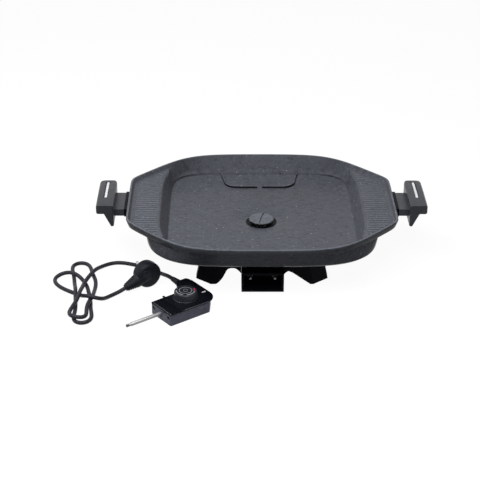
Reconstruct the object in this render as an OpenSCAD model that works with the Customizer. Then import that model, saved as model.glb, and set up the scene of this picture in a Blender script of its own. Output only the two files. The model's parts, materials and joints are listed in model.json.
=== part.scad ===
// Electric grill pan with a detachable thermostat probe control, its lead and its plug.
// Millimetres, +Z up. The table is z = 0. The origin is the middle of the set's footprint.

/* [Pan] */
// Width of the pan from wing end to wing end
pan_w = 437; // [400:1:480]
// Depth of the pan over the rim
pan_d = 370; // [340:1:400]
// Distance of the slanting wing edges from the pan's centre
wing_reach = 216; // [208:0.5:224]
// Height of the rim above the table
rim_z = 95; // [85:0.5:110]
// Depth of the cooking floor below the rim
basin_depth = 32; // [26:0.5:36]
// Thickness of the cooking floor
floor_t = 5; // [4:0.1:6]
// Drop of the ribbed wings below the rim
wing_drop = 7; // [5:0.1:9]
// Thickness of the wings
wing_t = 6; // [5:0.1:8]
// Width of the basin at the wing level
basin_w = 332; // [312:1:340]
// Width of the flat cooking floor
floor_w = 302; // [280:1:308]
// Depth of the flat cooking floor
floor_d = 332; // [300:1:338]
// Width of the pan's underside
under_w = 373; // [340:1:376]
// Depth of the pan's underside
under_d = 339; // [320:1:345]
// Pitch of the wing ribs
rib_pitch = 8; // [6:0.5:12]
// Width of a wing rib
rib_w = 4; // [2:0.1:5]
// Height of a wing rib
rib_h = 1; // [0.5:0.1:1.5]

/* [Partition rib] */
// Width of the walled-off area at the back of the floor
partition_w = 135; // [100:1:160]
// How far the partition spreads towards the back, on each side
partition_flare = 6; // [0:0.5:10]
// Radius of the partition's bends
partition_bend = 23; // [15:0.5:30]
// Distance of the partition's front from the pan's centre
partition_y = 113; // [90:1:125]
// Thickness of the partition rib
partition_t = 3; // [2:0.1:5]
// Height of the partition rib
partition_h = 4; // [2:0.1:7]
// Gap in the partition's front
partition_gap = 8; // [4:0.5:14]

/* [Drain] */
// Distance of the drain in front of the pan's centre
drain_front = 20; // [10:1:28]
// Radius of the drain cap's disc
drain_disc_r = 20.5; // [17:0.5:22]
// Thickness of the drain cap's disc
drain_disc_t = 4; // [3:0.1:5]
// Space under the drain cap's disc
drain_gap = 2.5; // [1.5:0.1:4]
// Radius of the drain cap's stem
drain_stem_r = 11; // [9:0.1:12]
// Length of the drain sleeve below the cooking floor
drain_len = 18; // [14:0.5:22]
// Turn of the drain cap's slot away from the front-to-back line
drain_slot_turn = 11; // [0:1:45]
// Radius of the sump that the drain lies in
sump_r = 24.5; // [22.5:0.5:28]
// Depth of the sump
sump_depth = 2; // [1:0.1:3]

/* [Handles] */
// Reach of a handle beyond the pan's wing
handle_reach = 49; // [46:0.5:60]
// Length of a handle grip
grip_len = 100; // [86:1:120]
// Width of a handle grip
grip_w = 28.3; // [22:0.1:32]
// Height of the grip's top above the rim
grip_rise = 12; // [6:0.5:18]
// Thickness of a handle grip
grip_t = 15.5; // [12:0.5:18]
// Depth of the finger guard under a grip
guard_drop = 22; // [14:0.5:28]
// Width of a handle neck, front to back
neck_w = 64; // [56:1:76]
// Thickness of a handle neck
neck_t = 11.5; // [11:0.5:15]
// Thickness of the heat guard between pan and neck
heat_guard_t = 5; // [2:0.1:6]
// Length of the bright trim in a grip
trim_len = 60; // [40:1:70]
// Width of the bright trim
trim_w = 3.8; // [2:0.1:5]
// Distance between the two screws of a handle
handle_screw_gap = 40; // [30:1:46]

/* [Base] */
// Width of the base at the table
base_w = 212; // [200:1:230]
// Depth of the base at the table
base_d = 236; // [226:1:250]
// How far the base draws in from the table to the pan, on each side
base_draft = 13; // [6:0.5:16]
// Wall of the base
base_wall = 4; // [3:0.1:6]
// Height of the arches between the legs
arch_h = 27; // [20:0.5:32]
// Distance of a base screw from the base's left or right side
screw_in_x = 32; // [30:0.5:36]
// Distance of a base screw from the base's front or back
screw_in_y = 34; // [32:0.5:38]

/* [Inlet] */
// Width of the inlet shroud
inlet_w = 67; // [62:1:74]
// Reach of the shroud in front of the base
inlet_reach = 27; // [24:0.5:32]
// Height of the shroud's front face
inlet_face_h = 34; // [32:0.5:38]
// Wall of the shroud
inlet_wall = 3.5; // [2.5:0.1:4.5]
// Depth of the shroud's mouth
inlet_depth = 27; // [22:0.5:29]
// Height of the probe and the terminals above the table
inlet_z = 21; // [20:0.5:22]
// Distance between the two terminals
terminal_gap = 39; // [36:0.5:44]
// Radius of a terminal pin
terminal_r = 2.4; // [1.8:0.1:3]
// Length of a terminal pin in the shroud's mouth
terminal_len = 21; // [14:0.5:22]

/* [Heater] */
// Radius of the heating tube
heater_r = 4; // [3:0.1:4.5]
// Distance of the heating loop from the base's left or right side
heater_in_x = 28; // [27:0.5:36]
// Distance of the heating loop from the base's front or back
heater_in_y = 46; // [44:0.5:50]
// Radius of the heating loop's corners
heater_bend = 30; // [22:0.5:34]
// Thickness of the heater plate
plate_t = 8; // [7:0.1:10]
// Radius of the probe's bore in the well
well_bore_r = 3.2; // [3.1:0.05:3.6]
// Depth of the probe's bore
well_depth = 64; // [62:0.5:68]

/* [Probe control] */
// Distance of the control's front face from the pan's centre, left to right
ctrl_left = 157; // [150:1:170]
// Distance of the control's front face in front of the pan's centre
ctrl_front = 230; // [222:1:245]
// Turn of the control on the table
ctrl_turn = 37; // [30:1:45]
// Width of the control's nose
ctrl_w = 52; // [50:0.5:58]
// Length of the control's body
ctrl_len = 91; // [90:0.5:100]
// Reach of the control's head to the left of the probe
ctrl_head = 57; // [54:0.5:62]
// Height of the control's lower shell
ctrl_base_h = 15.5; // [15:0.5:18]
// Height of the control's top cover
ctrl_cover_h = 3; // [2.5:0.1:4]
// Wall of the control's shells
ctrl_wall = 2.4; // [1.8:0.1:3]
// Radius of the temperature probe
probe_r = 3; // [2.5:0.05:3.05]
// Length of the probe in front of the control
probe_len = 62.5; // [56:0.5:64]
// Height of the probe above the control's underside
probe_z = 11; // [9.5:0.1:11.5]

/* [Dial] */
// Distance of the dial from the control's front face
dial_along = 52; // [48:0.5:56]
// Distance of the dial to the left of the probe
dial_side = 8; // [5:0.5:12]
// Radius of the dial knob
knob_r = 18.3; // [16:0.1:20]
// Height of the dial knob
knob_h = 11; // [8:0.5:14]
// Radius of the dial's shaft
shaft_r = 3; // [2:0.1:4]
// Number of flutes round the knob
knob_flutes = 20; // [12:1:28]

/* [Lead and plug] */
// Diameter of the lead
cord_d = 6.4; // [5.6:0.1:6.6]
// Radius of the plug's body
plug_r = 21; // [18:0.5:22]
// Length of the plug's body along its pins
plug_len = 20; // [18:0.5:26]
// Radius of a plug pin
plug_pin_r = 2.4; // [2:0.05:2.5]
// Length of a plug pin
plug_pin_len = 19; // [17:0.5:20]
// Distance between the plug's pins
plug_pin_gap = 19; // [18.5:0.1:19.5]
// Distance of the plug's strain relief end from its axis
plug_exit = 43; // [38:0.5:46]
// Length of the strain relief on the control
gland_len = 24; // [20:0.5:30]

/* [Fits] */
// Space round a part that turns
run_gap = 0.05; // [0.02:0.01:0.1]
// Space round a screw's shank in a clearance hole
screw_gap = 0.25; // [0.15:0.05:0.4]
// Space between parts that sit side by side
seat_gap = 0.2; // [0.1:0.05:0.3]
// Space round a screw's thread or a pin that is held fast
hold_gap = 0.05; // [0.02:0.01:0.1]
// Play along the axis of a part that turns
end_gap = 0.3; // [0.25:0.05:0.5]

/* [Hidden] */
$fn = 64;
eps = 0.01;

// Heights in the pan
floor_z = rim_z - basin_depth;
recess_z = floor_z - floor_t;
skirt_h = 2;
under_z = recess_z - skirt_h;
shelf_z = rim_z - wing_drop;
wing_z = shelf_z - wing_t;

// Plan of the pan: slanting wing edges lie square to this direction
wing_turn = 42.6;
wing_round = 11;
corner_round = 28;
lip_slope = 9;
ring_n = 120;

// Where the grill stands: the pan's rear rim and the probe's tip are equally far from the origin
probe_tip_r = 0.75 * probe_r;
probe_step = 8;
set_front = ctrl_front + probe_len * sin(ctrl_turn) + probe_tip_r * cos(ctrl_turn);
grill_y = (set_front - pan_d / 2) / 2;

// Drain
sleeve_wall = 3;
sump_z = floor_z - sump_depth;
sump_slope = 2;
drain_z = floor_z + drain_gap;
sleeve_z = floor_z - drain_len;
port_r = 3.2;
port_z = floor_z - drain_len / 2;
clip_t = 1.1;
clip_band = 3.2;
clip_depth = 1.6;

// Handles, measured outwards from the wing's end
wing_x = pan_w / 2;
grip_z = rim_z + grip_rise;
grip_x = handle_reach - grip_w;
neck_z = shelf_z + 3.2;
lug_drop = 6;
lug_len = 30;
handle_screw_z = neck_z - neck_t / 2 - 2;
handle_screw_r = 2.5;
handle_head_r = 4.5;
handle_head_t = 4;
handle_head_x = grip_x + 2;
handle_bite = 14;
trim_back = 11;
trim_groove = trim_w + 4;
trim_depth = 1.4;
grip_edge = 4;
grip_crown = 1.2;
grip_peak = -5;
guard_root = 16.5;
guard_foot = 4.5;

// Base and its screws
base_cut = [24, 20];
base_screw_x = base_w - 2 * screw_in_x;
base_screw_y = base_d - 2 * screw_in_y;
inlet_front = base_d / 2 + inlet_reach;
tab_z = 36;
tab_t = 4;
base_screw_r = 2.5;
base_head_r = 4.5;
base_head_t = 3.5;
boss_r = 7;
boss_bite = 14;

// Heater plate and the screws under the pan
heater_x = base_w - 2 * heater_in_x;
heater_y = base_d - 2 * heater_in_y;
plate_x = heater_x + 16;
plate_y = heater_y + 20;
plate_z = recess_z - plate_t;
plate_screw_in = [31, 42];
plate_screw_at = [
  for (x = [-1, 1], y = [-1, 1]) [x * (plate_x / 2 - plate_screw_in[0]), y * (plate_y / 2 - plate_screw_in[1])]
];
small_screw_r = 2;
small_head_r = 3.6;
small_head_t = 2.4;
small_bite = 3.5;
drop_bend = 12;

// Probe well and inlet
well_r = 7;
web_t = 8;
flange_w = 25;
flange_t = 5;
shroud_back = inlet_front - inlet_depth;
shroud_wall_y = shroud_back - 3;
shroud_end = shroud_wall_y - 11;
well_end = shroud_wall_y - well_depth - 4;
shroud_top = base_d / 2;
shroud_foot = 1;
feed_y = shroud_end - drop_bend - heater_r - 0.5;
feed_bend = feed_y - heater_y / 2;
bead_r = 5.5;
bead_t = 4;
shroud_screw_x = 24;
shroud_screw_y = shroud_end + 5;

// A pin is this much thinner where it is held, from just in front of the face that holds it
pin_step = 0.3;
face_gap = 0.3;

// Probe control
ctrl_top = ctrl_base_h + ctrl_cover_h;
ctrl_outline = [
  [0, -ctrl_w / 2, 2.5], [0, ctrl_w / 2, 2.5], [58, ctrl_w / 2 + 1, 5], [62, 46, 5],
  [70, ctrl_head, 4], [ctrl_len - 3, ctrl_head, 4], [ctrl_len, ctrl_head - 12, 8],
  [ctrl_len, -ctrl_w / 2, 24]
];
shell_outline = concat(
  [for (i = [0:len(ctrl_outline) - 2]) ctrl_outline[i]],
  [[ctrl_len, 22 - ctrl_w / 2, 6], [ctrl_len - 18, -ctrl_w / 2, 3]]
);
rim_h = 1.8;
rim_t = 1.1;
ctrl_post_r = 4;
ctrl_post_at = [[32, -10], [32, 10], [84, 22]];
ctrl_screw_r = 1.5;
ctrl_post_z = 9;
contact_r = 3.4;
contact_len = 24;
contact_in = 1.8;
cover_lip = 0.6;
switch_size = [28, 30, 10.2];
switch_x = dial_along - switch_size[0] / 2;
gland_x = ctrl_len - 12;
gland_z = 9.5;
gland_r = 5.2;
gland_lip = 2;
lens_at = [84, 4];
lens_size = [6.6, 2.6, 2];
knob_z = ctrl_top + 0.5;
knob_top = knob_z + knob_h;
dial_r = knob_r - 2.8;
dial_t = 0.8;
dial_sunk = 0.6;

// Plug, lying on its side with its strain relief on the table
plug_at = [-182.9, -121.5];
plug_turn = 122.7;
plug_roll = 18;
plug_neck_x = -1;
plug_pin_root = 8;
plug_pin_tip = 1.5;

// The lead leaves each relief square to it, and straight for its first points
lead_stub = 0.5;
lead_out = 9.3;

// Route of the lead: its ends follow the two strain reliefs, and the points between lie on the table
function turned(p, a) = [p[0] * cos(a) - p[1] * sin(a), p[0] * sin(a) + p[1] * cos(a), p[2]];
function on_table(p, at, a) = turned(p, a) + [at[0], at[1] + grill_y, 0];
ctrl_at = [-ctrl_left, -ctrl_front];
gland_tip = ctrl_head + gland_len;
function gland_point(k) = on_table([gland_x, gland_tip + k, gland_z], ctrl_at, ctrl_turn);
function plug_point(k) =
  on_table([plug_neck_x, k * cos(plug_roll), plug_r - k * sin(plug_roll)], plug_at, plug_turn);
lead_route = concat(
  [gland_point(lead_stub), gland_point(lead_out)],
  [
    [-153.9, -60, 7.7], [-160, -51.6, 5.4], [-166.6, -43.6, 3.8], [-173.8, -36.4, 3.4],
    [-181.6, -30, 3.5], [-190, -24.5, 3.6], [-198.9, -20, 3.5], [-208.1, -16, 3.5],
    [-217.6, -12.3, 3.5], [-227.4, -9.5, 3.6], [-237.5, -9, 3.5], [-246.9, -11.9, 3.4],
    [-254.8, -17.9, 3.7], [-260.8, -26.1, 5.1], [-265.1, -35.2, 7.5], [-268.6, -44.7, 9.7],
    [-271.9, -54.3, 10.7], [-275.1, -64.1, 10.7], [-278, -73.8, 10.7], [-280.6, -83.5, 10.7],
    [-282.6, -93.1, 10.2], [-283.9, -103, 10.6], [-284.7, -112.9, 12.6], [-285.4, -123, 14.8],
    [-286.2, -133.1, 15.1], [-287.6, -142.9, 13.4], [-290, -152.5, 11.3], [-293.2, -162, 9.7],
    [-296.2, -172.3, 9.1], [-297.4, -183, 9.6], [-294.9, -192.5, 10.7], [-287.7, -197.7, 10.7],
    [-278.9, -197.3, 9.5], [-272.5, -191.7, 7.5], [-271, -182.2, 6.5], [-271.9, -171.7, 7.2],
    [-271.9, -161.4, 8.9], [-269.9, -151.7, 10.5], [-267.3, -142, 10.8], [-265.6, -132, 10],
    [-265.2, -122, 8.5], [-265.1, -112, 6.4], [-265, -102, 4.6], [-264.8, -92, 3.6], [-265, -82, 3.4],
    [-266.1, -72, 3.5], [-268.4, -62.1, 3.4], [-271.4, -52.4, 3.3], [-274.1, -42.6, 3.4],
    [-276.3, -32.4, 3.5], [-279.1, -22.2, 3.5], [-284.3, -13.6, 3.5], [-292.6, -9.5, 3.5],
    [-301.3, -11.7, 3.5], [-306.8, -19.2, 3.5], [-307.5, -29.3, 3.5], [-305.7, -39.9, 3.5],
    [-303.4, -50.1, 3.5], [-301.7, -60.1, 3.4], [-300.3, -70, 3.3], [-299, -79.9, 3.6],
    [-297.5, -89.7, 5.1], [-296, -99.5, 8.1], [-294.6, -109.4, 10.6], [-293.5, -119.5, 10.8],
    [-292.6, -129.6, 8.5], [-291.8, -139.4, 5.6], [-290.9, -149.3, 3.7], [-290.1, -159.2, 3.2],
    [-290, -169.5, 3.5], [-290.5, -180.2, 3.5], [-290.2, -190.9, 3.4], [-286.7, -199.8, 3.3],
    [-278.8, -204, 3.4], [-270, -202.3, 3.6], [-264.2, -195, 3.5], [-262.8, -184.8, 3.5],
    [-264.2, -174, 3.5], [-266, -163.7, 3.5], [-267.2, -153.8, 3.4], [-268, -143.8, 3.2],
    [-269.2, -133.9, 3.4], [-270.9, -124.2, 3.5], [-272.9, -114.4, 3.5], [-274.9, -104.3, 3.6],
    [-277.1, -94.2, 3.3], [-279.8, -84.6, 3.2], [-284, -75.9, 4.7], [-290.1, -68.4, 8.1],
    [-298, -61.5, 10.7], [-306.8, -55.4, 10.6], [-316.2, -51.5, 8], [-325, -52.6, 5.2],
    [-330.9, -59.1, 3.5], [-332.1, -68.8, 3.4], [-329.1, -78.9, 3.5], [-323.5, -88, 3.5],
    [-316.7, -95.7, 3.6], [-308.9, -102.2, 3.6], [-300.5, -108.1, 3.3], [-292.3, -114.2, 3.4],
    [-285.6, -121.6, 5.4], [-281, -130.5, 9.6], [-277, -139.5, 14.8], [-270.8, -146.4, 18.1],
    [-262.2, -148.8, 17.2], [-254.5, -145.9, 13.5], [-249.4, -138.6, 8.9], [-245.2, -129.4, 5.2],
    [-239.6, -120.4, 3.4], [-232.2, -112.9, 3.4]
  ],
  [plug_point(plug_exit + lead_out), plug_point(plug_exit + lead_stub)]
);
cord_sides = 8;
cord_steps = 2;

// Shapes used by several pieces

// Points of an outline whose corners are [x, y, radius]
function rounded(list) = [
  for (i = [0:len(list) - 1])
    let (
      n = len(list),
      p = [list[i][0], list[i][1]],
      a = [list[(i + n - 1) % n][0], list[(i + n - 1) % n][1]] - p,
      b = [list[(i + 1) % n][0], list[(i + 1) % n][1]] - p,
      ua = a / norm(a),
      ub = b / norm(b),
      half = acos(ua * ub) / 2,
      reach = list[i][2] / tan(half),
      mid = (ua + ub) / norm(ua + ub),
      c = p + mid * list[i][2] / sin(half),
      s = p + ua * reach - c,
      e = p + ub * reach - c,
      side = sign(s[0] * e[1] - s[1] * e[0]),
      sweep = acos(max(-1, min(1, s * e / (norm(s) * norm(e)))))
    )
    for (k = [0:6])
      let (w = side * sweep * k / 6)
      c + [s[0] * cos(w) - s[1] * sin(w), s[0] * sin(w) + s[1] * cos(w)]
];

// The same outline drawn in by a wall
function drawn_in(list, w) = [
  for (i = [0:len(list) - 1])
    let (
      n = len(list),
      p = [list[i][0], list[i][1]],
      a = p - [list[(i + n - 1) % n][0], list[(i + n - 1) % n][1]],
      b = [list[(i + 1) % n][0], list[(i + 1) % n][1]] - p,
      na = [a[1], -a[0]] / norm(a),
      nb = [b[1], -b[0]] / norm(b),
      m = (na + nb) / (1 + na * nb),
      turn = sign(a[0] * b[1] - a[1] * b[0])
    )
    [p[0] + m[0] * w, p[1] + m[1] * w, max(0.5, list[i][2] + turn * w)]
];

function box_corners(x, y, r) = [[-x, -y, r], [x, -y, r], [x, y, r], [-x, y, r]];
function box_points(x, y, r) = rounded(box_corners(x / 2, y / 2, r));

// A solid from its rings of points, closed at both ends towards the ring's middle
function total(list) = [for (x = list) 1] * list;
function middle(list) = total(list) / len(list);
module ring_solid(rings) {
  n = len(rings[0]);
  m = len(rings);
  side = [
    for (j = [0:m - 2], i = [0:n - 1])
      let (a = j * n + i, b = j * n + (i + 1) % n)
      each [[a, a + n, b], [b, a + n, b + n]]
  ];
  first = [for (i = [0:n - 1]) [n * m, i, (i + 1) % n]];
  last = [for (i = [0:n - 1]) [n * m + 1, (m - 1) * n + (i + 1) % n, (m - 1) * n + i]];
  ends = [middle(rings[0]), middle(rings[m - 1])];
  polyhedron(points = concat([for (r = rings) each r], ends), faces = concat(side, first, last));
}

// A rod along +X, +Y or -Y from a point
module rod_x(p, len, r) {
  translate(p)
    rotate([0, 90, 0])
      cylinder(h = len, r = r);
}
module rod_y(p, len, r) {
  translate(p)
    rotate([-90, 0, 0])
      cylinder(h = len, r = r);
}

// A screw along +Z with its head below the origin
module screw(len, r, head_r, head_t) {
  translate([0, 0, -head_t])
    difference() {
      cylinder(h = head_t, r = head_r);
      translate([0, 0, -eps])
        cylinder(h = head_t / 2, r = head_r / 2, $fn = 6);
    }
  cylinder(h = len, r = r);
}

module on_grill() {
  translate([0, grill_y, 0])
    children();
}
module on_control() {
  translate([ctrl_at[0], ctrl_at[1] + grill_y, 0])
    rotate([0, 0, ctrl_turn])
      children();
}
module on_plug() {
  translate([plug_at[0], plug_at[1] + grill_y, plug_r])
    rotate([0, 0, plug_turn])
      rotate([-plug_roll, 0, 0])
        children();
}
module on_side(side) {
  mirror([side < 0 ? 1 : 0, 0, 0])
    translate([wing_x, 0, 0])
      children();
}

// The pan

function blend(list, p) = pow(total([for (x = list) pow(abs(x), p)]), 1 / p);
function wing_at(t, inset) =
  let (
    c = abs(cos(t)),
    s = abs(sin(t)),
    slant = (c * cos(wing_turn) + s * sin(wing_turn)) / (wing_reach - inset)
  )
  1 / blend([blend([slant, s / (pan_d / 2 - inset)], wing_round), c / (wing_x - inset)], corner_round);
function oval_at(t, w, d, p) = 1 / blend([cos(t) * 2 / w, sin(t) * 2 / d], p);
function basin_at(t) = min(oval_at(t, basin_w, pan_d - 16, 4.2), wing_at(t, lip_slope + 0.8));
function floor_at(t) = oval_at(t, floor_w, floor_d, 6);
function wall_at(t, k) = floor_at(t) + k * (basin_at(t) - 2.5 - floor_at(t));
function under_at(t, inset) = oval_at(t, under_w - 2 * inset, under_d - 2 * inset, 4);
function skirt_at(t) = min(oval_at(t, under_w + 6, under_d + 22, 4), wing_at(t, 2.6));
function step_angle(i) = 360 * i / ring_n;
function ring(z, list) = [
  for (i = [0:ring_n - 1]) [list[i] * cos(step_angle(i)), list[i] * sin(step_angle(i)), z]
];
function each_angle() = [for (i = [0:ring_n - 1]) step_angle(i)];

module pan_shell() {
  a = each_angle();
  ring_solid([
    ring(recess_z, [for (t = a) under_at(t, 13)]),
    ring(under_z, [for (t = a) under_at(t, 10)]),
    ring(under_z, [for (t = a) under_at(t, 5)]),
    ring(under_z + 5, [for (t = a) under_at(t, 0)]),
    ring(wing_z, [for (t = a) skirt_at(t)]),
    ring(wing_z + 0.4, [for (t = a) wing_at(t, 1.6)]),
    ring(wing_z + 2.4, [for (t = a) wing_at(t, 0.3)]),
    ring(rim_z - 1, [for (t = a) wing_at(t, 0)]),
    ring(rim_z, [for (t = a) wing_at(t, 0.9)]),
    ring(rim_z, [for (t = a) wing_at(t, 3.2)]),
    ring(shelf_z, [for (t = a) wing_at(t, lip_slope)]),
    ring(shelf_z, [for (t = a) basin_at(t)]),
    ring(shelf_z - 1.5, [for (t = a) wall_at(t, 1)]),
    ring(floor_z + 7, [for (t = a) wall_at(t, 0.3)]),
    ring(floor_z + 1.8, [for (t = a) wall_at(t, 0.09)]),
    ring(floor_z, [for (t = a) floor_at(t)])
  ]);
}

// Ribs across a wing, each from the basin's edge to the rim's lip
module wing_ribs() {
  top = floor((pan_d / 2 - 30) / rib_pitch);
  for (k = [-top:top]) {
    y = k * rib_pitch;
    reach = abs(y) + rib_w / 2;
    inner = basin_w / 2 * pow(1 - pow(max(0, abs(y) - rib_w / 2) / (pan_d / 2 - 8), 4.2), 1 / 4.2) + 2;
    slant = (wing_reach - lip_slope - 2 - reach * sin(wing_turn)) / cos(wing_turn);
    outer = min(wing_x - lip_slope - 4, slant);
    if (outer - inner > 6)
      translate([inner, y - rib_w / 2, shelf_z - rib_h])
        cube([outer - inner, rib_w, 2 * rib_h]);
  }
}

// Right half of the partition, from the gap round to the back wall
module partition_half() {
  half = partition_w / 2;
  front = half - partition_flare;
  back = floor_d / 2 + 2;
  bend_at = [front - partition_bend, partition_y + partition_bend - partition_t];
  inner_bend = partition_bend - partition_t;
  linear_extrude(height = partition_h + 1)
    polygon(concat(
      [[partition_gap / 2, partition_y], [partition_gap / 2, partition_y - partition_t]],
      [for (w = [-90:15:0]) bend_at + partition_bend * [cos(w), sin(w)]],
      [[half, back], [half - partition_t, back]],
      [for (w = [0:-15:-90]) bend_at + inner_bend * [cos(w), sin(w)]]
    ));
}

module pan() {
  color("dimgray") on_grill() {
    difference() {
      union() {
        pan_shell();
        for (side = [0, 1])
          mirror([side, 0, 0]) {
            wing_ribs();
            translate([0, 0, floor_z - 1])
              partition_half();
            translate([wing_x - lug_len, -neck_w / 2, wing_z - lug_drop])
              cube([lug_len - 2.5, neck_w, lug_drop + 2]);
          }
        for (x = [-1, 1], y = [-1, 1])
          translate([x * base_screw_x / 2, y * base_screw_y / 2, tab_z + tab_t])
            cylinder(h = recess_z - tab_z - tab_t + 1, r = boss_r);
      }
      translate([0, -drain_front, under_z - 1])
        cylinder(h = floor_z - under_z + 3, r = drain_stem_r + run_gap + sleeve_wall + hold_gap);
      translate([0, -drain_front, sump_z])
        cylinder(h = 2 * sump_depth, r1 = sump_r - sump_slope, r2 = sump_r + sump_slope);
      for (x = [-1, 1], y = [-1, 1])
        translate([x * base_screw_x / 2, y * base_screw_y / 2, tab_z])
          cylinder(h = tab_t + boss_bite, r = base_screw_r + hold_gap);
      for (side = [-1, 1], y = [-1, 1])
        on_side(side)
          rod_x([-handle_bite, y * handle_screw_gap / 2, handle_screw_z], handle_bite + 5,
            handle_screw_r + hold_gap);
      for (p = plate_screw_at)
        translate([p[0], p[1], recess_z - 1])
          cylinder(h = small_bite + 1, r = small_screw_r + hold_gap);
      for (x = [-1, 1])
        translate([x * shroud_screw_x, -shroud_screw_y, recess_z - 1])
          cylinder(h = small_bite + 1, r = small_screw_r + hold_gap);
    }
  }
}

// The heater

// The heating tube's path at one radius: the loop, the two feeds and the two drops to the terminals
module heater_path(r) {
  hx = heater_x / 2;
  hy = heater_y / 2;
  run_x = heater_x - 2 * heater_bend;
  run_y = heater_y - 2 * heater_bend;
  rod_x([-run_x / 2, hy, plate_z], run_x, r);
  for (side = [0, 1])
    mirror([side, 0, 0]) {
      rod_y([hx, -run_y / 2, plate_z], run_y, r);
      for (k = [0, 1])
        mirror([0, k, 0])
          translate([hx - heater_bend, hy - heater_bend, plate_z])
            rotate_extrude(angle = 90)
              translate([heater_bend, 0])
                circle(r = r);
      rod_x([terminal_gap / 2 + feed_bend, -hy, plate_z], run_x / 2 - terminal_gap / 2 - feed_bend, r);
      translate([terminal_gap / 2 + feed_bend, -feed_y, plate_z])
        rotate([0, 0, 90])
          rotate_extrude(angle = 90)
            translate([feed_bend, 0])
              circle(r = r);
    }
}

module heater_drop(r) {
  fall = plate_z - inlet_z - 2 * drop_bend;
  out = shroud_wall_y + 1.5 - feed_y - 2 * drop_bend;
  translate([terminal_gap / 2, -feed_y, plate_z]) {
    translate([0, 0, -drop_bend])
      rotate([90, 0, -90])
        rotate_extrude(angle = 90)
          translate([drop_bend, 0])
            circle(r = r);
    translate([0, -drop_bend, -drop_bend - fall])
      cylinder(h = fall, r = r);
    translate([0, -2 * drop_bend, -drop_bend - fall])
      rotate([90, 0, -90])
        rotate([0, 0, 180])
          rotate_extrude(angle = 90)
            translate([drop_bend, 0])
              circle(r = r);
    rod_y([0, -2 * drop_bend - out, inlet_z - plate_z], out, r);
  }
}

module heating_element() {
  color("silver") on_grill() {
    heater_path(heater_r);
    for (side = [0, 1])
      mirror([side, 0, 0])
        heater_drop(heater_r);
  }
}

module heater_plate() {
  color("gainsboro") on_grill()
    difference() {
      translate([0, 0, plate_z])
        linear_extrude(height = plate_t)
          polygon(box_points(plate_x, plate_y, heater_bend + 10));
      heater_path(heater_r + seat_gap / 2);
      translate([-flange_w / 2 - seat_gap, -plate_y / 2 - 1, plate_z - 1])
        cube([flange_w + 2 * seat_gap, plate_y / 2 + 1 - well_end + seat_gap, plate_t + 2]);
      translate([0, -drain_front, plate_z - 1])
        cylinder(h = plate_t + 2, r = drain_stem_r + sleeve_wall + 1);
      for (p = plate_screw_at)
        translate([p[0], p[1], plate_z - 1])
          cylinder(h = plate_t + 2, r = small_screw_r + screw_gap);
    }
}

module plate_screws() {
  color("silver") on_grill()
    for (p = plate_screw_at)
      translate([p[0], p[1], plate_z])
        screw(plate_t + small_bite - 0.5, small_screw_r, small_head_r, small_head_t);
}

module terminal_insulators() {
  color("ivory") on_grill()
    for (x = [-1, 1])
      difference() {
        rod_y([x * terminal_gap / 2, -shroud_back - bead_t, inlet_z], bead_t, bead_r);
        rod_y([x * terminal_gap / 2, -shroud_back - bead_t - 1, inlet_z], bead_t + 2, terminal_r + hold_gap);
      }
}

module terminal_pins() {
  root = shroud_wall_y + 1.5;
  tip = shroud_back + terminal_len;
  color("silver") on_grill()
    for (x = [-1, 1])
      translate([x * terminal_gap / 2, -root, inlet_z])
        rotate([90, 0, 0])
          rotate_extrude()
            polygon([
              [0, 0], [terminal_r, 0], [terminal_r, tip - root - 1.2],
              [terminal_r - 1.2, tip - root], [0, tip - root]
            ]);
}

module probe_well() {
  web_y = shroud_end - seat_gap;
  color("gray") on_grill()
    difference() {
      union() {
        rod_y([0, -shroud_wall_y, inlet_z], shroud_wall_y - well_end, well_r);
        translate([-web_t / 2, -web_y, inlet_z])
          cube([web_t, web_y - well_end, recess_z - inlet_z - 1]);
        translate([-flange_w / 2, -web_y, recess_z - flange_t])
          cube([flange_w, web_y - well_end, flange_t]);
      }
      rod_y([0, -shroud_wall_y - 1, inlet_z], well_depth + 1, well_bore_r);
    }
}

// The drain

module drain_sleeve() {
  bore = drain_stem_r + run_gap;
  color("gray") on_grill()
    translate([0, -drain_front, 0])
      difference() {
        translate([0, 0, sleeve_z])
          cylinder(h = sump_z - sleeve_z, r = bore + sleeve_wall);
        translate([0, 0, sleeve_z - 1])
          cylinder(h = drain_len + 2, r = bore);
        rotate([0, 0, 90 - drain_slot_turn])
          translate([bore - 1, 0, sleeve_z - 1])
            cylinder(h = port_z + 1 - sleeve_z + 1, r = port_r);
      }
}

module drain_cap() {
  clip_z = sleeve_z - clip_t - end_gap;
  stem_end = clip_z - 2.2;
  slot_w = 2.6;
  slot_depth = 2;
  color("dimgray") on_grill()
    translate([0, -drain_front, 0])
      rotate([0, 0, -drain_slot_turn])
        difference() {
          rotate_extrude()
            polygon([
              [0, stem_end], [drain_stem_r, stem_end], [drain_stem_r, clip_z - hold_gap],
              [drain_stem_r - clip_depth, clip_z - hold_gap],
              [drain_stem_r - clip_depth, clip_z + clip_t + hold_gap],
              [drain_stem_r, clip_z + clip_t + hold_gap],
              [drain_stem_r, sump_z + end_gap], [drain_stem_r + 1.5, sump_z + end_gap],
              [drain_stem_r + 1.5, drain_z], [drain_disc_r - 0.8, drain_z],
              [drain_disc_r, drain_z + 0.8], [drain_disc_r, drain_z + drain_disc_t - 1.2],
              [drain_disc_r - 1.2, drain_z + drain_disc_t], [0, drain_z + drain_disc_t]
            ]);
          translate([-slot_w / 2, -drain_disc_r + 2, drain_z + drain_disc_t - slot_depth])
            cube([slot_w, 2 * drain_disc_r - 4, slot_depth + 1]);
          translate([drain_stem_r - 1, 0, port_z - 1])
            cylinder(h = drain_z - port_z + 1, r = port_r);
        }
}

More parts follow.
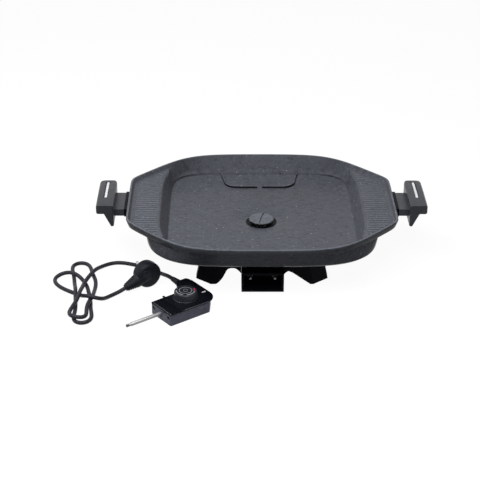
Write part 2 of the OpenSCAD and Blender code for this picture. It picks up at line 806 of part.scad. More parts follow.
module drain_clip() {
  inner = drain_stem_r - clip_depth + 0.1;
  mouth = 8;
  color("silver") on_grill()
    translate([0, -drain_front, sleeve_z - clip_t - end_gap])
      rotate([0, 0, -drain_slot_turn])
        difference() {
          cylinder(h = clip_t, r = inner + clip_band);
          translate([0, 0, -1])
            cylinder(h = clip_t + 2, r = inner);
          translate([-mouth / 2, 0, -1])
            cube([mouth, inner + clip_band + 1, clip_t + 2]);
        }
}

// The base

function base_ring(inset, z) =
  let (
    k = base_draft * z / recess_z,
    x = base_w / 2 - inset - k,
    y = base_d / 2 - inset - k,
    cx = base_cut[0] - 0.42 * inset,
    cy = base_cut[1] - 0.42 * inset
  )
  [
    [-x + cx, -y, z], [x - cx, -y, z], [x, -y + cy, z], [x, y - cy, z],
    [x - cx, y, z], [-x + cx, y, z], [-x, y - cy, z], [-x, -y + cy, z]
  ];
module base_body(inset, from, to) {
  ring_solid([base_ring(inset, from), base_ring(inset, to)]);
}

// An arch between two legs: x positions of its feet, its crown's ends and its height
module arch(foot_a, top_a, top_b, foot_b, h) {
  rise = [for (w = [0:15:90]) [1 - cos(w), sin(w)]];
  polygon(concat(
    [[foot_a, -1]],
    [for (p = rise) [foot_a + (top_a - foot_a) * p[0], h * p[1]]],
    [for (i = [len(rise) - 1:-1:0]) [foot_b + (top_b - foot_b) * rise[i][0], h * rise[i][1]]],
    [[foot_b, -1]]
  ));
}

module base_frame() {
  side = inlet_w / 2 + seat_gap;
  leg = base_w / 2 - base_cut[0] - 8;
  leg_y = base_d / 2 - base_cut[1] - 16;
  gate = shroud_top + 20;
  color([0.05, 0.05, 0.06]) on_grill()
    difference() {
      union() {
        difference() {
          base_body(0, 0, recess_z);
          base_body(base_wall, -1, recess_z + 1);
        }
        for (x = [-1, 1], y = [-1, 1])
          intersection() {
            base_body(0.5, 0, recess_z);
            translate([x * base_screw_x / 2, y * base_screw_y / 2, tab_z])
              translate([x > 0 ? -11 : -40, y > 0 ? -11 : -40, 0])
                cube([51, 51, tab_t]);
          }
      }
      translate([-side, -gate, -1])
        cube([2 * side, gate - 20, recess_z + 2]);
      translate([0, -20, 0])
        rotate([90, 0, 0])
          linear_extrude(height = base_d)
            polygon([
              [-leg - 2, -1], [-leg - 2, 0], [-leg + 1, 0.02 * arch_h], [-leg + 4, 0.1 * arch_h],
              [-leg + 8, 0.25 * arch_h], [-leg + 11.5, 0.42 * arch_h], [-leg + 14.5, 0.63 * arch_h],
              [-leg + 17.5, 0.83 * arch_h], [-side - 20.5, 0.91 * arch_h], [-side - 17, 0.95 * arch_h],
              [-side - 11, 0.95 * arch_h], [-side - 7, 0.89 * arch_h], [-side - 2, 0.73 * arch_h],
              [-side + 1, 0.57 * arch_h], [-side + 2, 0.44 * arch_h], [-side + 2, -1]
            ]);
      translate([0, -20, 0])
        rotate([90, 0, 0])
          linear_extrude(height = base_d)
            polygon([[leg + 3, -1], [leg + 3, 0], [side + 14, arch_h - 8], [side + 8, arch_h - 6],
              [side + 3, arch_h - 9], [side - 2, arch_h - 16], [side - 2, -1]]);
      translate([0, base_d + 20, 0])
        rotate([90, 0, 0])
          linear_extrude(height = base_d)
            arch(-leg, -leg + 22, leg - 22, leg, arch_h);
      translate([-base_w, 0, 0])
        rotate([90, 0, 90])
          linear_extrude(height = 2 * base_w)
            arch(-leg_y, -leg_y + 22, leg_y - 22, leg_y, arch_h);
      for (x = [-1, 1], y = [-1, 1])
        translate([x * base_screw_x / 2, y * base_screw_y / 2, tab_z - 1])
          cylinder(h = tab_t + 2, r = base_screw_r + screw_gap);
    }
}

module base_screws() {
  color("silver") on_grill()
    for (x = [-1, 1], y = [-1, 1])
      translate([x * base_screw_x / 2, y * base_screw_y / 2, tab_z])
        screw(tab_t + boss_bite - 1, base_screw_r, base_head_r, base_head_t);
}

module shroud_profile(inset) {
  polygon([
    [-inlet_front + inset, shroud_foot + inset], [-inlet_front + inset, inlet_face_h - 0.4 * inset],
    [-shroud_top + 0.4 * inset, recess_z - inset], [-shroud_end, recess_z - inset],
    [-shroud_end, shroud_foot + inset]
  ]);
}

module inlet_shroud() {
  inner = inlet_w - 2 * inlet_wall;
  mouth_top = inlet_face_h - inlet_wall;
  color([0.04, 0.04, 0.05]) on_grill()
    difference() {
      translate([-inlet_w / 2, 0, 0])
        rotate([90, 0, 90])
          linear_extrude(height = inlet_w)
            shroud_profile(0);
      translate([-inner / 2, -inlet_front - 1, shroud_foot + inlet_wall])
        cube([inner, inlet_depth + 1, mouth_top - shroud_foot - inlet_wall]);
      intersection() {
        translate([-inner / 2, 0, 0])
          rotate([90, 0, 90])
            linear_extrude(height = inner)
              shroud_profile(inlet_wall);
        translate([-inlet_w, -inlet_front, mouth_top + 2])
          cube([2 * inlet_w, inlet_front, recess_z]);
      }
      translate([-inner / 2, -shroud_wall_y, shroud_foot - 1])
        cube([inner, shroud_wall_y - shroud_end + 1, recess_z - inlet_wall - shroud_foot + 1]);
      for (x = [-1, 1]) {
        rod_y([x * terminal_gap / 2, -shroud_back - 1, inlet_z], shroud_back - shroud_wall_y + 2,
          heater_r + seat_gap);
        translate([x * shroud_screw_x, -shroud_screw_y, recess_z - inlet_wall - 1])
          cylinder(h = inlet_wall + 2, r = small_screw_r + screw_gap);
      }
      rod_y([0, -shroud_back - 1, inlet_z], shroud_back - shroud_wall_y + 2, well_bore_r + 0.3);
    }
}

module shroud_screws() {
  color("silver") on_grill()
    for (x = [-1, 1])
      translate([x * shroud_screw_x, -shroud_screw_y, recess_z - inlet_wall])
        screw(inlet_wall + small_bite - 0.5, small_screw_r, small_head_r, small_head_t);
}

// The handles

// Height of a grip's top, which falls away from its highest place towards both ends
function grip_top(y) = grip_z - grip_crown * pow(2 * (y - grip_peak) / grip_len, 2);

// A strip along the middle of a grip's top, between two heights measured from that top
module grip_strip(w, span, low, high) {
  line = [for (k = [-5:5]) trim_back + k * span / 10];
  translate([grip_x + grip_w / 2 - w / 2, 0, 0])
    rotate([90, 0, 90])
      linear_extrude(height = w)
        polygon(concat(
          [for (y = line) [y, grip_top(y) + high]],
          [for (i = [len(line) - 1:-1:0]) [line[i], grip_top(line[i]) + low]]
        ));
}

module handle(side) {
  bar_z = grip_z - grip_t;
  bar = rounded([
    [grip_x, grip_z, grip_edge], [handle_reach, grip_z, grip_edge], [handle_reach, bar_z, 3],
    [grip_x, bar_z, 0.5]
  ]);
  fin = rounded([
    [grip_x, bar_z + 2, 0.5], [grip_x + guard_root, bar_z + 2, 0.5],
    [grip_x + guard_foot, bar_z - guard_drop, 1.2], [grip_x, bar_z - guard_drop, 1.2]
  ]);
  plan = rounded([
    [grip_x, -grip_len / 2, 3], [grip_x, grip_len / 2, 7], [handle_reach, grip_len / 2, 10],
    [handle_reach, -grip_len / 2, 4]
  ]);
  color([0.12, 0.12, 0.14]) on_grill() on_side(side)
    difference() {
      union() {
        intersection() {
          union() {
            ring_solid([
              for (k = [-6:6])
                let (
                  y = k * grip_len / 10,
                  rise = (grip_top(y) - bar_z) / grip_t
                )
                [for (p = bar) [p[0], y, bar_z + (p[1] - bar_z) * rise]]
            ]);
            translate([0, grip_len / 2, 0])
              rotate([90, 0, 0])
                linear_extrude(height = grip_len)
                  polygon(fin);
          }
          linear_extrude(height = 2 * grip_z)
            polygon(plan);
        }
        translate([heat_guard_t, -neck_w / 2, neck_z - neck_t])
          cube([grip_x - heat_guard_t + 2, neck_w, neck_t]);
      }
      grip_strip(trim_groove, trim_len + 4, -trim_depth, 2);
      for (y = [-1, 1]) {
        rod_x([0, y * handle_screw_gap / 2, handle_screw_z], handle_reach, handle_screw_r + screw_gap);
        rod_x([handle_head_x, y * handle_screw_gap / 2, handle_screw_z], handle_reach,
          handle_head_r + screw_gap);
      }
    }
}

module handle_guard(side) {
  color("black") on_grill() on_side(side)
    difference() {
      translate([seat_gap, -neck_w / 2 - 1.5, neck_z - neck_t - 1])
        cube([heat_guard_t - seat_gap, neck_w + 3, neck_t + 2.5]);
      for (y = [-1, 1])
        rod_x([-1, y * handle_screw_gap / 2, handle_screw_z], heat_guard_t + 2, handle_screw_r + screw_gap);
    }
}

module handle_trim(side) {
  color("white") on_grill() on_side(side)
    grip_strip(trim_w, trim_len, hold_gap - trim_depth, 0);
}

module handle_screws(side) {
  color("silver") on_grill() on_side(side)
    for (y = [-1, 1])
      translate([handle_head_x, y * handle_screw_gap / 2, handle_screw_z])
        rotate([0, -90, 0])
          screw(handle_head_x + handle_bite - 1, handle_screw_r, handle_head_r, handle_head_t);
}

// The probe control

module control_slab(outline, from, to, inset) {
  translate([0, 0, from])
    linear_extrude(height = to - from)
      polygon(rounded(drawn_in(outline, inset)));
}

module controller_base() {
  color([0.27, 0.27, 0.32]) on_control()
    difference() {
      union() {
        difference() {
          control_slab(shell_outline, 0, ctrl_base_h + rim_h, 0);
          control_slab(shell_outline, ctrl_wall, ctrl_base_h + rim_h + 1, ctrl_wall);
          control_slab(shell_outline, ctrl_base_h, ctrl_base_h + rim_h + 1, rim_t);
        }
        for (p = ctrl_post_at)
          translate([p[0], p[1], 0])
            cylinder(h = ctrl_post_z, r = ctrl_post_r);
      }
      for (p = ctrl_post_at)
        translate([p[0], p[1], -1]) {
          cylinder(h = ctrl_base_h, r = ctrl_screw_r + screw_gap);
          cylinder(h = 3.5, r = small_head_r + screw_gap);
        }
      rod_x([-1, 0, probe_z], ctrl_wall + 2, probe_r - pin_step + hold_gap);
      for (y = [-1, 1])
        rod_x([-1, y * terminal_gap / 2, probe_z], ctrl_wall + 2, contact_r + hold_gap);
      rod_y([gland_x, ctrl_head - ctrl_wall - 1, gland_z], ctrl_wall + 2, gland_r + hold_gap);
    }
}

module controller_cover() {
  ridge_x = 24;
  ridge_t = 1.6;
  spur = 6.5;
  color("black") on_control()
    difference() {
      union() {
        control_slab(shell_outline, ctrl_base_h, ctrl_top - 0.5, rim_t + seat_gap);
        control_slab(ctrl_outline, ctrl_base_h + rim_h + seat_gap, ctrl_top, -cover_lip);
        for (p = ctrl_post_at)
          translate([p[0], p[1], ctrl_post_z])
            cylinder(h = ctrl_base_h - ctrl_post_z + 1, r = ctrl_post_r - 0.6);
        translate([ridge_x, -ctrl_w / 2 + 2, ctrl_top - 1])
          cube([ridge_t, ctrl_w - 4, 2.2]);
        translate([ridge_x, ctrl_w / 2 - 2, ctrl_base_h + rim_h + 0.3])
          cube([ridge_t + 1, spur, ctrl_cover_h - rim_h + 0.6]);
      }
      translate([dial_along, dial_side, ctrl_base_h - 1])
        cylinder(h = ctrl_cover_h + 2, r = shaft_r + screw_gap);
      translate([lens_at[0] - lens_size[0] / 2, lens_at[1] - lens_size[1] / 2, ctrl_top - lens_size[2] + 0.4])
        cube(lens_size + [0, 0, 1]);
      for (p = ctrl_post_at)
        translate([p[0], p[1], ctrl_post_z - 1])
          cylinder(h = ctrl_base_h - ctrl_post_z, r = ctrl_screw_r + hold_gap);
    }
}

module controller_screws() {
  head = 2.2;
  color("silver") on_control()
    for (p = ctrl_post_at)
      translate([p[0], p[1], 2.5])
        screw(ctrl_base_h - 2 - 2.5, ctrl_screw_r, small_head_r, head);
}

module probe() {
  color("silver") on_control()
    translate([-probe_len, 0, probe_z])
      rotate([0, 90, 0])
        rotate_extrude()
          polygon([
            [0, 0], [probe_tip_r, 0], [probe_tip_r, probe_step - 0.8], [probe_r, probe_step],
            [probe_r, probe_len - face_gap], [probe_r - pin_step, probe_len - face_gap],
            [probe_r - pin_step, probe_len + switch_x], [0, probe_len + switch_x]
          ]);
}

module contact_sleeves() {
  color("goldenrod") on_control()
    for (y = [-1, 1])
      difference() {
        rod_x([contact_in, y * terminal_gap / 2, probe_z], contact_len + 0.3 - contact_in, contact_r);
        rod_x([-1, y * terminal_gap / 2, probe_z], contact_len, terminal_r + run_gap);
      }
}

module thermostat_switch() {
  color("peru") on_control()
    difference() {
      translate([switch_x, dial_side - switch_size[1] / 2, ctrl_wall])
        cube(switch_size);
      translate([dial_along, dial_side, ctrl_wall + 4])
        cylinder(h = switch_size[2], r = shaft_r + run_gap);
    }
}

module pilot_lens() {
  color("white") on_control()
    translate([lens_at[0] - lens_size[0] / 2 + 0.1, lens_at[1] - lens_size[1] / 2 + 0.1,
        ctrl_top - lens_size[2] + 0.4])
      cube(lens_size - [0.2, 0.2, 0]);
}

module knob_shaft() {
  color("silver") on_control()
    translate([dial_along, dial_side, ctrl_wall + 4 + end_gap])
      cylinder(h = knob_top - 3 - ctrl_wall - 4 - end_gap, r = shaft_r);
}

module knob() {
  flute_r = 1.2;
  color([0.06, 0.06, 0.07]) on_control()
    translate([dial_along, dial_side, 0])
      difference() {
        rotate_extrude()
          polygon([
            [0, knob_z], [knob_r, knob_z], [knob_r, knob_z + 1.5], [knob_r - 0.8, knob_top - 1],
            [knob_r - 1.8, knob_top], [0, knob_top]
          ]);
        translate([0, 0, knob_top - dial_sunk])
          cylinder(h = 2, r = dial_r + 0.2);
        translate([0, 0, knob_z - 1])
          cylinder(h = knob_top - 3 - knob_z + 1, r = shaft_r + hold_gap);
        for (i = [0:knob_flutes - 1])
          rotate([0, 0, 360 * i / knob_flutes])
            translate([knob_r + 0.4, 0, knob_z + 2.5])
              cylinder(h = knob_h, r = flute_r);
      }
}

module dial_plate() {
  color("silver") on_control()
    translate([dial_along, dial_side, knob_top - dial_sunk])
      cylinder(h = dial_t, r = dial_r);
}

// A tube swept along a list of points
function way(p, i) = p[min(i + 1, len(p) - 1)] - p[max(i - 1, 0)];
function tube_ring(p, i, r, n) =
  let (
    t = way(p, i) / norm(way(p, i)),
    s = cross(t, [0, 0, 1]) / norm(cross(t, [0, 0, 1])),
    u = cross(t, s)
  )
  [for (k = [0:n - 1]) p[i] + r * (cos(360 * (k + 0.5) / n) * s + sin(360 * (k + 0.5) / n) * u)];
module tube(p, r, n) {
  ring_solid([for (i = [0:len(p) - 1]) tube_ring(p, i, r, n)]);
}

// A smooth curve through a list of points
function curve(p, steps) = concat(
  [
    for (i = [0:len(p) - 2], k = [0:steps - 1])
      let (
        a = p[max(i - 1, 0)],
        b = p[i],
        c = p[i + 1],
        d = p[min(i + 2, len(p) - 1)],
        t = k / steps
      )
      ((2 * b) + (c - a) * t + (2 * a - 5 * b + 4 * c - d) * t * t + (3 * b - a - 3 * c + d) * t * t * t) / 2
  ],
  [p[len(p) - 1]]
);

module controller_wires() {
  wire_r = 1.1;
  spread = 1.5;
  lead_in = 4;
  low = ctrl_wall + 3.6;
  high = ctrl_base_h - 1.45;
  wire_gap = 0.6;
  back = contact_len + 0.3;
  side = terminal_gap / 2;
  end = switch_x + switch_size[0];
  mouth = ctrl_head - ctrl_wall - gland_lip - wire_gap;
  paths = [
    [[gland_x + spread, mouth, gland_z], [gland_x, 0.77 * ctrl_head, low],
      [0.95 * gland_x, 0.53 * ctrl_head, low], [end + lead_in, dial_side + 6, low],
      [end + wire_gap, dial_side + 6, low]],
    [[gland_x - spread, mouth, gland_z], [0.93 * gland_x, 0.74 * ctrl_head, 0.8 * ctrl_base_h],
      [end, 0.49 * ctrl_head, high], [dial_along, side + 0.5, high], [switch_x - 1, side, high],
      [back + lead_in, side, probe_z], [back + wire_gap, side, probe_z]],
    [[end + wire_gap, dial_side - 4, low], [end + lead_in, dial_side - 4, low],
      [end + 1.5 * lead_in, -0.4 * side, low], [end - lead_in, -0.8 * side, low],
      [0.92 * dial_along, -0.9 * side, low], [1.4 * back, -side, 0.58 * ctrl_base_h],
      [back + lead_in, -side, probe_z], [back + wire_gap, -side, probe_z]]
  ];
  color("firebrick") on_control()
    for (p = paths)
      tube(curve(p, 3), wire_r, 6);
}

module cord_gland() {
  rib_t = 1.6;
  ribs = 5;
  color("black") on_control()
    translate([gland_x, ctrl_head, gland_z])
      rotate([-90, 0, 0])
        difference() {
          rotate_extrude()
            polygon(concat(
              [[0, -ctrl_wall - gland_lip], [gland_r + 0.8, -ctrl_wall - gland_lip],
                [gland_r + 0.8, -ctrl_wall], [gland_r, -ctrl_wall], [gland_r, 1]],
              [
                for (i = [0:ribs - 1])
                  let (
                    y = 2 + i * (gland_len - 3) / ribs,
                    r = gland_r + 0.6 - 1.8 * i / ribs
                  )
                  each [[r, y], [r, y + rib_t], [r - 0.9, y + rib_t + 0.4], [r - 0.9, y + 2 * rib_t]]
              ],
              [[cord_d / 2 + 0.9, gland_len], [0, gland_len]]
            ));
          translate([0, 0, -ctrl_wall - gland_lip - 1])
            cylinder(h = ctrl_wall + gland_lip + 2, r = cord_d / 2 - 0.3);
        }
}

// The lead and the plug

// A smooth line drawn by a row of points, from the first of them to the last
function drawn_line(p, steps) =
  let (q = concat([2 * p[0] - p[1]], p, [2 * p[len(p) - 1] - p[len(p) - 2]]))
  concat(
    [
      for (i = [1:len(q) - 3], k = [0:steps - 1])
        let (t = k / steps)
        (pow(1 - t, 3) * q[i - 1] + (3 * t * t * t - 6 * t * t + 4) * q[i]
          + (-3 * t * t * t + 3 * t * t + 3 * t + 1) * q[i + 1] + t * t * t * q[i + 2]) / 6
    ],
    [p[len(p) - 1]]
  );

lead_line = concat([gland_point(0)], drawn_line(lead_route, cord_steps), [plug_point(plug_exit)]);

// Least space between two stretches of the lead that are not neighbours
lead_apart = 6;
lead_gap = min([
  for (i = [0:len(lead_line) - 1 - lead_apart])
    min([for (j = [i + lead_apart:len(lead_line) - 1]) norm(lead_line[i] - lead_line[j])])
]) - cord_d;
lead_length = total([for (i = [1:len(lead_line) - 1]) norm(lead_line[i] - lead_line[i - 1])]);
echo(lead_gap = lead_gap, lead_length = lead_length, lead_low = min([for (p = lead_line) p[2]]) - cord_d / 2);

module power_cord() {
  color([0.1, 0.1, 0.12])
    tube(lead_line, cord_d / 2, cord_sides);
}

module plug_body() {
  half = plug_len / 2;
  back = 5;
  neck_r = 10.6;
  color([0.09, 0.09, 0.1]) on_plug()
    difference() {
      union() {
        rotate([0, 90, 0])
          rotate_extrude()
            polygon(concat(
              [[0, -half]],
              [for (w = [0:15:90]) [plug_r - back + back * sin(w), -half + back - back * cos(w)]],
              [[plug_r, half - 6], [plug_r - 1, half - 5.5], [plug_r - 1, half], [0, half]]
            ));
        translate([plug_neck_x, 0, 0])
          rotate([-90, 0, 0])
            cylinder(h = plug_r + 2, r = neck_r);
      }
      for (y = [-1, 1])
        translate([half - 12, y > 0 ? plug_r - 2.4 : -plug_r - 1, -3.5])
          cube([13, 3.4, 7]);
      for (z = [-1, 1])
        rod_x([half - plug_pin_root, 0, z * plug_pin_gap / 2], plug_pin_root + 1,
          plug_pin_r - pin_step + hold_gap);
    }
}

module plug_pins() {
  half = plug_len / 2;
  color("silver") on_plug()
    for (z = [-1, 1])
      translate([half, 0, z * plug_pin_gap / 2])
        rotate([0, 90, 0])
          rotate_extrude()
            polygon([
              [0, -plug_pin_root], [plug_pin_r - pin_step, -plug_pin_root],
              [plug_pin_r - pin_step, face_gap], [plug_pin_r, face_gap],
              [plug_pin_r, plug_pin_len - plug_pin_tip], [plug_pin_r - plug_pin_tip, plug_pin_len],
              [0, plug_pin_len]
            ]);
}

module plug_earth_clips() {
  half = plug_len / 2;
  color("gainsboro") on_plug()
    for (y = [-1, 1])
      translate([half - 11.9, y > 0 ? plug_r - 2.4 : -plug_r + 1.4, -3.3])
        cube([11.8, 1, 6.6]);
}

module plug_strain_relief() {
  root = plug_r + 2;
  len = plug_exit - root;
  ribs = 5;
  color([0.1, 0.1, 0.11]) on_plug()
    translate([plug_neck_x, root, 0])
      rotate([-90, 0, 0])
        rotate_extrude()
          polygon(concat(
            [[0, 0]],
            [
              for (i = [0:ribs - 1])
                let (
                  y = i * (len - 1.5) / ribs,
                  r = 10.2 - 4 * i / ribs
                )
                each [[r, y], [r, y + 0.55 * len / ribs], [r - 1.3, y + 0.6 * len / ribs],
                  [r - 1.3, y + 0.9 * len / ribs]]
            ],
            [[cord_d / 2 + 2, len], [0, len]]
          ));
}

pan();
heater_plate();
heating_element();
terminal_insulators();
terminal_pins();
probe_well();
plate_screws();
drain_sleeve();
drain_cap();
drain_clip();
base_frame();
base_screws();
inlet_shroud();
shroud_screws();
handle(-1);  // handle_left
handle(1);  // handle_right
handle_guard(-1);  // handle_guard_left
handle_guard(1);  // handle_guard_right
handle_trim(-1);  // handle_trim_left
handle_trim(1);  // handle_trim_right
handle_screws(-1);  // handle_screws_left
handle_screws(1);  // handle_screws_right
controller_base();
controller_cover();
controller_screws();
probe();
contact_sleeves();
thermostat_switch();
controller_wires();
pilot_lens();
knob_shaft();
knob();
dial_plate();
cord_gland();
power_cord();
plug_body();
plug_pins();
plug_earth_clips();
plug_strain_relief();
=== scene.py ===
"""Electric grill pan on its base, with its thermostat control, lead and plug on the table in front of it."""
import json
import math

import bmesh
import bpy
from mathutils import Matrix, Vector


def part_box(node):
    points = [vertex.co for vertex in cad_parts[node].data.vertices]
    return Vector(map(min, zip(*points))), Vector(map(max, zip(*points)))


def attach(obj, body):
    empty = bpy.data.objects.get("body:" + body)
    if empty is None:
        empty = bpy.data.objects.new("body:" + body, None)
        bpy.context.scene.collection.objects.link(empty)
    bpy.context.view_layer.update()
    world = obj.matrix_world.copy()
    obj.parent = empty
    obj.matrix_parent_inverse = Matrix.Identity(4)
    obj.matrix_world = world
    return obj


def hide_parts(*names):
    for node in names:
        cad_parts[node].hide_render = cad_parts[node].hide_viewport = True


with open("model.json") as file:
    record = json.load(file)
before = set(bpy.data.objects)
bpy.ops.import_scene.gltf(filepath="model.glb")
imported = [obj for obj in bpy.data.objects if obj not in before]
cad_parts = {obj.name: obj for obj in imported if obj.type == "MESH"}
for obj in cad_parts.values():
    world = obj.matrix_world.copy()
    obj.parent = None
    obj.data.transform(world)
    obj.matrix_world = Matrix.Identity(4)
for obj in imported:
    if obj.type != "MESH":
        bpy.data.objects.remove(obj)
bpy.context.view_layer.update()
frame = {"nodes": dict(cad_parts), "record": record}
nodes = frame["nodes"]

MM = 0.001


def middle(node):
    low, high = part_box(node)
    return (low + high) / 2


# Where the grill stands: the pan is as deep in front of this line as behind it
GRILL_Y = middle("pan").y

# Camera, at the photo's viewing angle
CAMERA_AT = Vector((-0.0582, GRILL_Y - 2.0843, 1.0817))
CAMERA_PITCH, CAMERA_YAW, CAMERA_ROLL = (math.radians(a) for a in (27.01, 0.65, 0.31))
CAMERA_LENS = 105.26
CAMERA_SENSOR = 36

# Edges sharper than this many degrees stay sharp, or get a soft edge
SHARP_ANGLE = 35


def make_camera():
    data = bpy.data.cameras.new("camera")
    data.sensor_width = CAMERA_SENSOR
    data.lens = CAMERA_LENS
    camera = bpy.data.objects.new("camera", data)
    bpy.context.scene.collection.objects.link(camera)
    ahead = Vector((
        math.sin(CAMERA_YAW) * math.cos(CAMERA_PITCH),
        math.cos(CAMERA_YAW) * math.cos(CAMERA_PITCH),
        -math.sin(CAMERA_PITCH),
    ))
    right = Vector((math.cos(CAMERA_YAW), -math.sin(CAMERA_YAW), 0))
    up = right.cross(ahead)
    across = right * math.cos(CAMERA_ROLL) + up * math.sin(CAMERA_ROLL)
    above = up * math.cos(CAMERA_ROLL) - right * math.sin(CAMERA_ROLL)
    turn = Matrix((across, above, -ahead)).transposed().to_4x4()
    camera.matrix_world = Matrix.Translation(CAMERA_AT) @ turn
    bpy.context.scene.camera = camera


make_camera()


# Materials

# The span that most of a noise's values lie in
NOISE_LOW, NOISE_HIGH = 0.3, 0.7
SMOOTHEST = 0.02
# A fleck is full inside this share of its radius, and fades towards its edge
FLECK_CORE = 0.55
# How far up a surface faces where it counts as level, and where as upright, for the painted shade on upright
# faces
LEVEL, UPRIGHT = 0.8, 0.4


class Shader:
    """A material with one Principled shader, and short ways to add noise, flecks and bump to it."""

    def __init__(self, name, color, roughness, metallic=0.0, specular=0.5):
        self.material = bpy.data.materials.new(name)
        self.material.use_nodes = True
        self.tree = self.material.node_tree
        self.main = self.tree.nodes["Principled BSDF"]
        self.color = (*color, 1)
        self.set("Base Color", self.color)
        self.set("Roughness", roughness)
        self.set("Metallic", metallic)
        self.set("Specular IOR Level", specular)
        self.roughness = roughness
        self.place = self.tree.nodes.new("ShaderNodeTexCoord").outputs["Object"]
        self.paint = None

    def set(self, socket, value):
        self.main.inputs[socket].default_value = value

    def node(self, kind, **values):
        made = self.tree.nodes.new(kind)
        for key, value in values.items():
            setattr(made, key, value)
        return made

    def link(self, out, to):
        self.tree.links.new(out, to)

    def noise(self, size, detail=3.0, stretch=(1, 1, 1)):
        """Noise whose lumps are about size across, longer along an axis with a small stretch."""
        mapping = self.node("ShaderNodeMapping")
        mapping.inputs["Scale"].default_value = stretch
        made = self.node("ShaderNodeTexNoise")
        made.inputs["Scale"].default_value = 1 / size
        made.inputs["Detail"].default_value = detail
        self.link(self.place, mapping.inputs["Vector"])
        self.link(mapping.outputs["Vector"], made.inputs["Vector"])
        return made.outputs["Fac"]

    def flecks(self, size, radius, share):
        """1 in small round flecks: one to a cell of that size, and only in a share of the cells."""
        cells = self.node("ShaderNodeTexVoronoi")
        cells.inputs["Scale"].default_value = 1 / size
        self.link(self.place, cells.inputs["Vector"])
        near = self.node("ShaderNodeMapRange", clamp=True)
        near.inputs["From Min"].default_value = radius / size
        near.inputs["From Max"].default_value = FLECK_CORE * radius / size
        self.link(cells.outputs["Distance"], near.inputs["Value"])
        split = self.node("ShaderNodeSeparateColor")
        self.link(cells.outputs["Color"], split.inputs["Color"])
        chosen = self.node("ShaderNodeMath", operation="LESS_THAN")
        chosen.inputs[1].default_value = share
        self.link(split.outputs["Red"], chosen.inputs[0])
        both = self.node("ShaderNodeMath", operation="MULTIPLY")
        self.link(near.outputs["Result"], both.inputs[0])
        self.link(chosen.outputs["Value"], both.inputs[1])
        return both.outputs["Value"]

    def away_from(self, point):
        """Distance from a point of the object."""
        made = self.node("ShaderNodeVectorMath", operation="DISTANCE")
        made.inputs[1].default_value = point
        self.link(self.place, made.inputs[0])
        return made.outputs["Value"]

    def over(self, mask, color, low=0.0, high=1.0, most=1.0):
        """Paints color over the base colour, where the mask goes from low to high."""
        amount = self.node("ShaderNodeMapRange", clamp=True)
        amount.inputs["From Min"].default_value = low
        amount.inputs["From Max"].default_value = high
        amount.inputs["To Max"].default_value = most
        self.link(mask, amount.inputs["Value"])
        mix = self.node("ShaderNodeMix", data_type="RGBA")
        mix.inputs["A"].default_value = self.color
        mix.inputs["B"].default_value = (*color, 1)
        self.link(amount.outputs["Result"], mix.inputs["Factor"])
        if self.paint:
            self.link(self.paint, mix.inputs["A"])
        self.paint = mix.outputs["Result"]
        self.link(self.paint, self.main.inputs["Base Color"])

    def vary_gloss(self, mask, spread):
        """Roughness varies by this much either way."""
        amount = self.node("ShaderNodeMapRange", clamp=True)
        amount.inputs["From Min"].default_value = NOISE_LOW
        amount.inputs["From Max"].default_value = NOISE_HIGH
        amount.inputs["To Min"].default_value = max(SMOOTHEST, self.roughness - spread)
        amount.inputs["To Max"].default_value = min(1.0, self.roughness + spread)
        self.link(mask, amount.inputs["Value"])
        self.link(amount.outputs["Result"], self.main.inputs["Roughness"])

    def upright(self, color):
        """Painted shade: paints color where the surface stands upright, and not where it faces up, as if the
        light fell only from above.
        """
        normal = self.node("ShaderNodeNewGeometry").outputs["Normal"]
        split = self.node("ShaderNodeSeparateXYZ")
        self.link(normal, split.inputs["Vector"])
        self.over(split.outputs["Z"], color, low=LEVEL, high=UPRIGHT)

    def bump(self, mask, depth, strength):
        """Adds a bump of that depth to the bumps that are there."""
        made = self.node("ShaderNodeBump")
        made.inputs["Distance"].default_value = depth
        made.inputs["Strength"].default_value = strength
        self.link(mask, made.inputs["Height"])
        normal = self.main.inputs["Normal"]
        if normal.is_linked:
            self.link(normal.links[0].from_socket, made.inputs["Normal"])
        self.link(made.outputs["Normal"], normal)


def shade(color, k):
    return tuple(c * k for c in color)


def moulded(name, color, roughness, specular=0.5):
    """Moulded plastic: faint mottling, a fine grain and uneven gloss."""
    made = Shader(name, color, roughness, specular=specular)
    made.over(made.noise(14 * MM), shade(color, 1.5), low=0.45, high=0.75, most=0.5)
    made.vary_gloss(made.noise(6 * MM), spread=0.25 * roughness)
    made.bump(made.noise(0.7 * MM, detail=2.0), depth=0.05 * MM, strength=0.5)
    return made.material


def drawn_metal(name, color, roughness, stretch=(1, 1, 1), metallic=1.0):
    """Bare metal with fine drawing lines and a few dull spots."""
    made = Shader(name, color, roughness, metallic=metallic)
    lines = made.noise(0.5 * MM, detail=2.0, stretch=stretch)
    made.over(made.noise(5 * MM), shade(color, 0.6), low=0.5, high=0.8, most=0.6)
    made.vary_gloss(lines, spread=0.4 * roughness)
    made.bump(lines, depth=0.02 * MM, strength=0.4)
    return made.material


def probe_metal(name, color):
    """Smooth dull steel with a soft stain here and there, and a darker tip."""
    made = Shader(name, color, 0.42, metallic=0.75, specular=0.3)
    made.over(made.noise(16 * MM, detail=2.0), shade(color, 0.75), low=0.5, high=0.8, most=0.5)
    low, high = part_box("probe")
    tip = (low.x, low.y, (low.z + high.z) / 2)
    made.over(made.away_from(tip), shade(color, 0.2), low=9 * MM, high=5 * MM, most=0.9)
    made.vary_gloss(made.noise(8 * MM), spread=0.05)
    return made.material


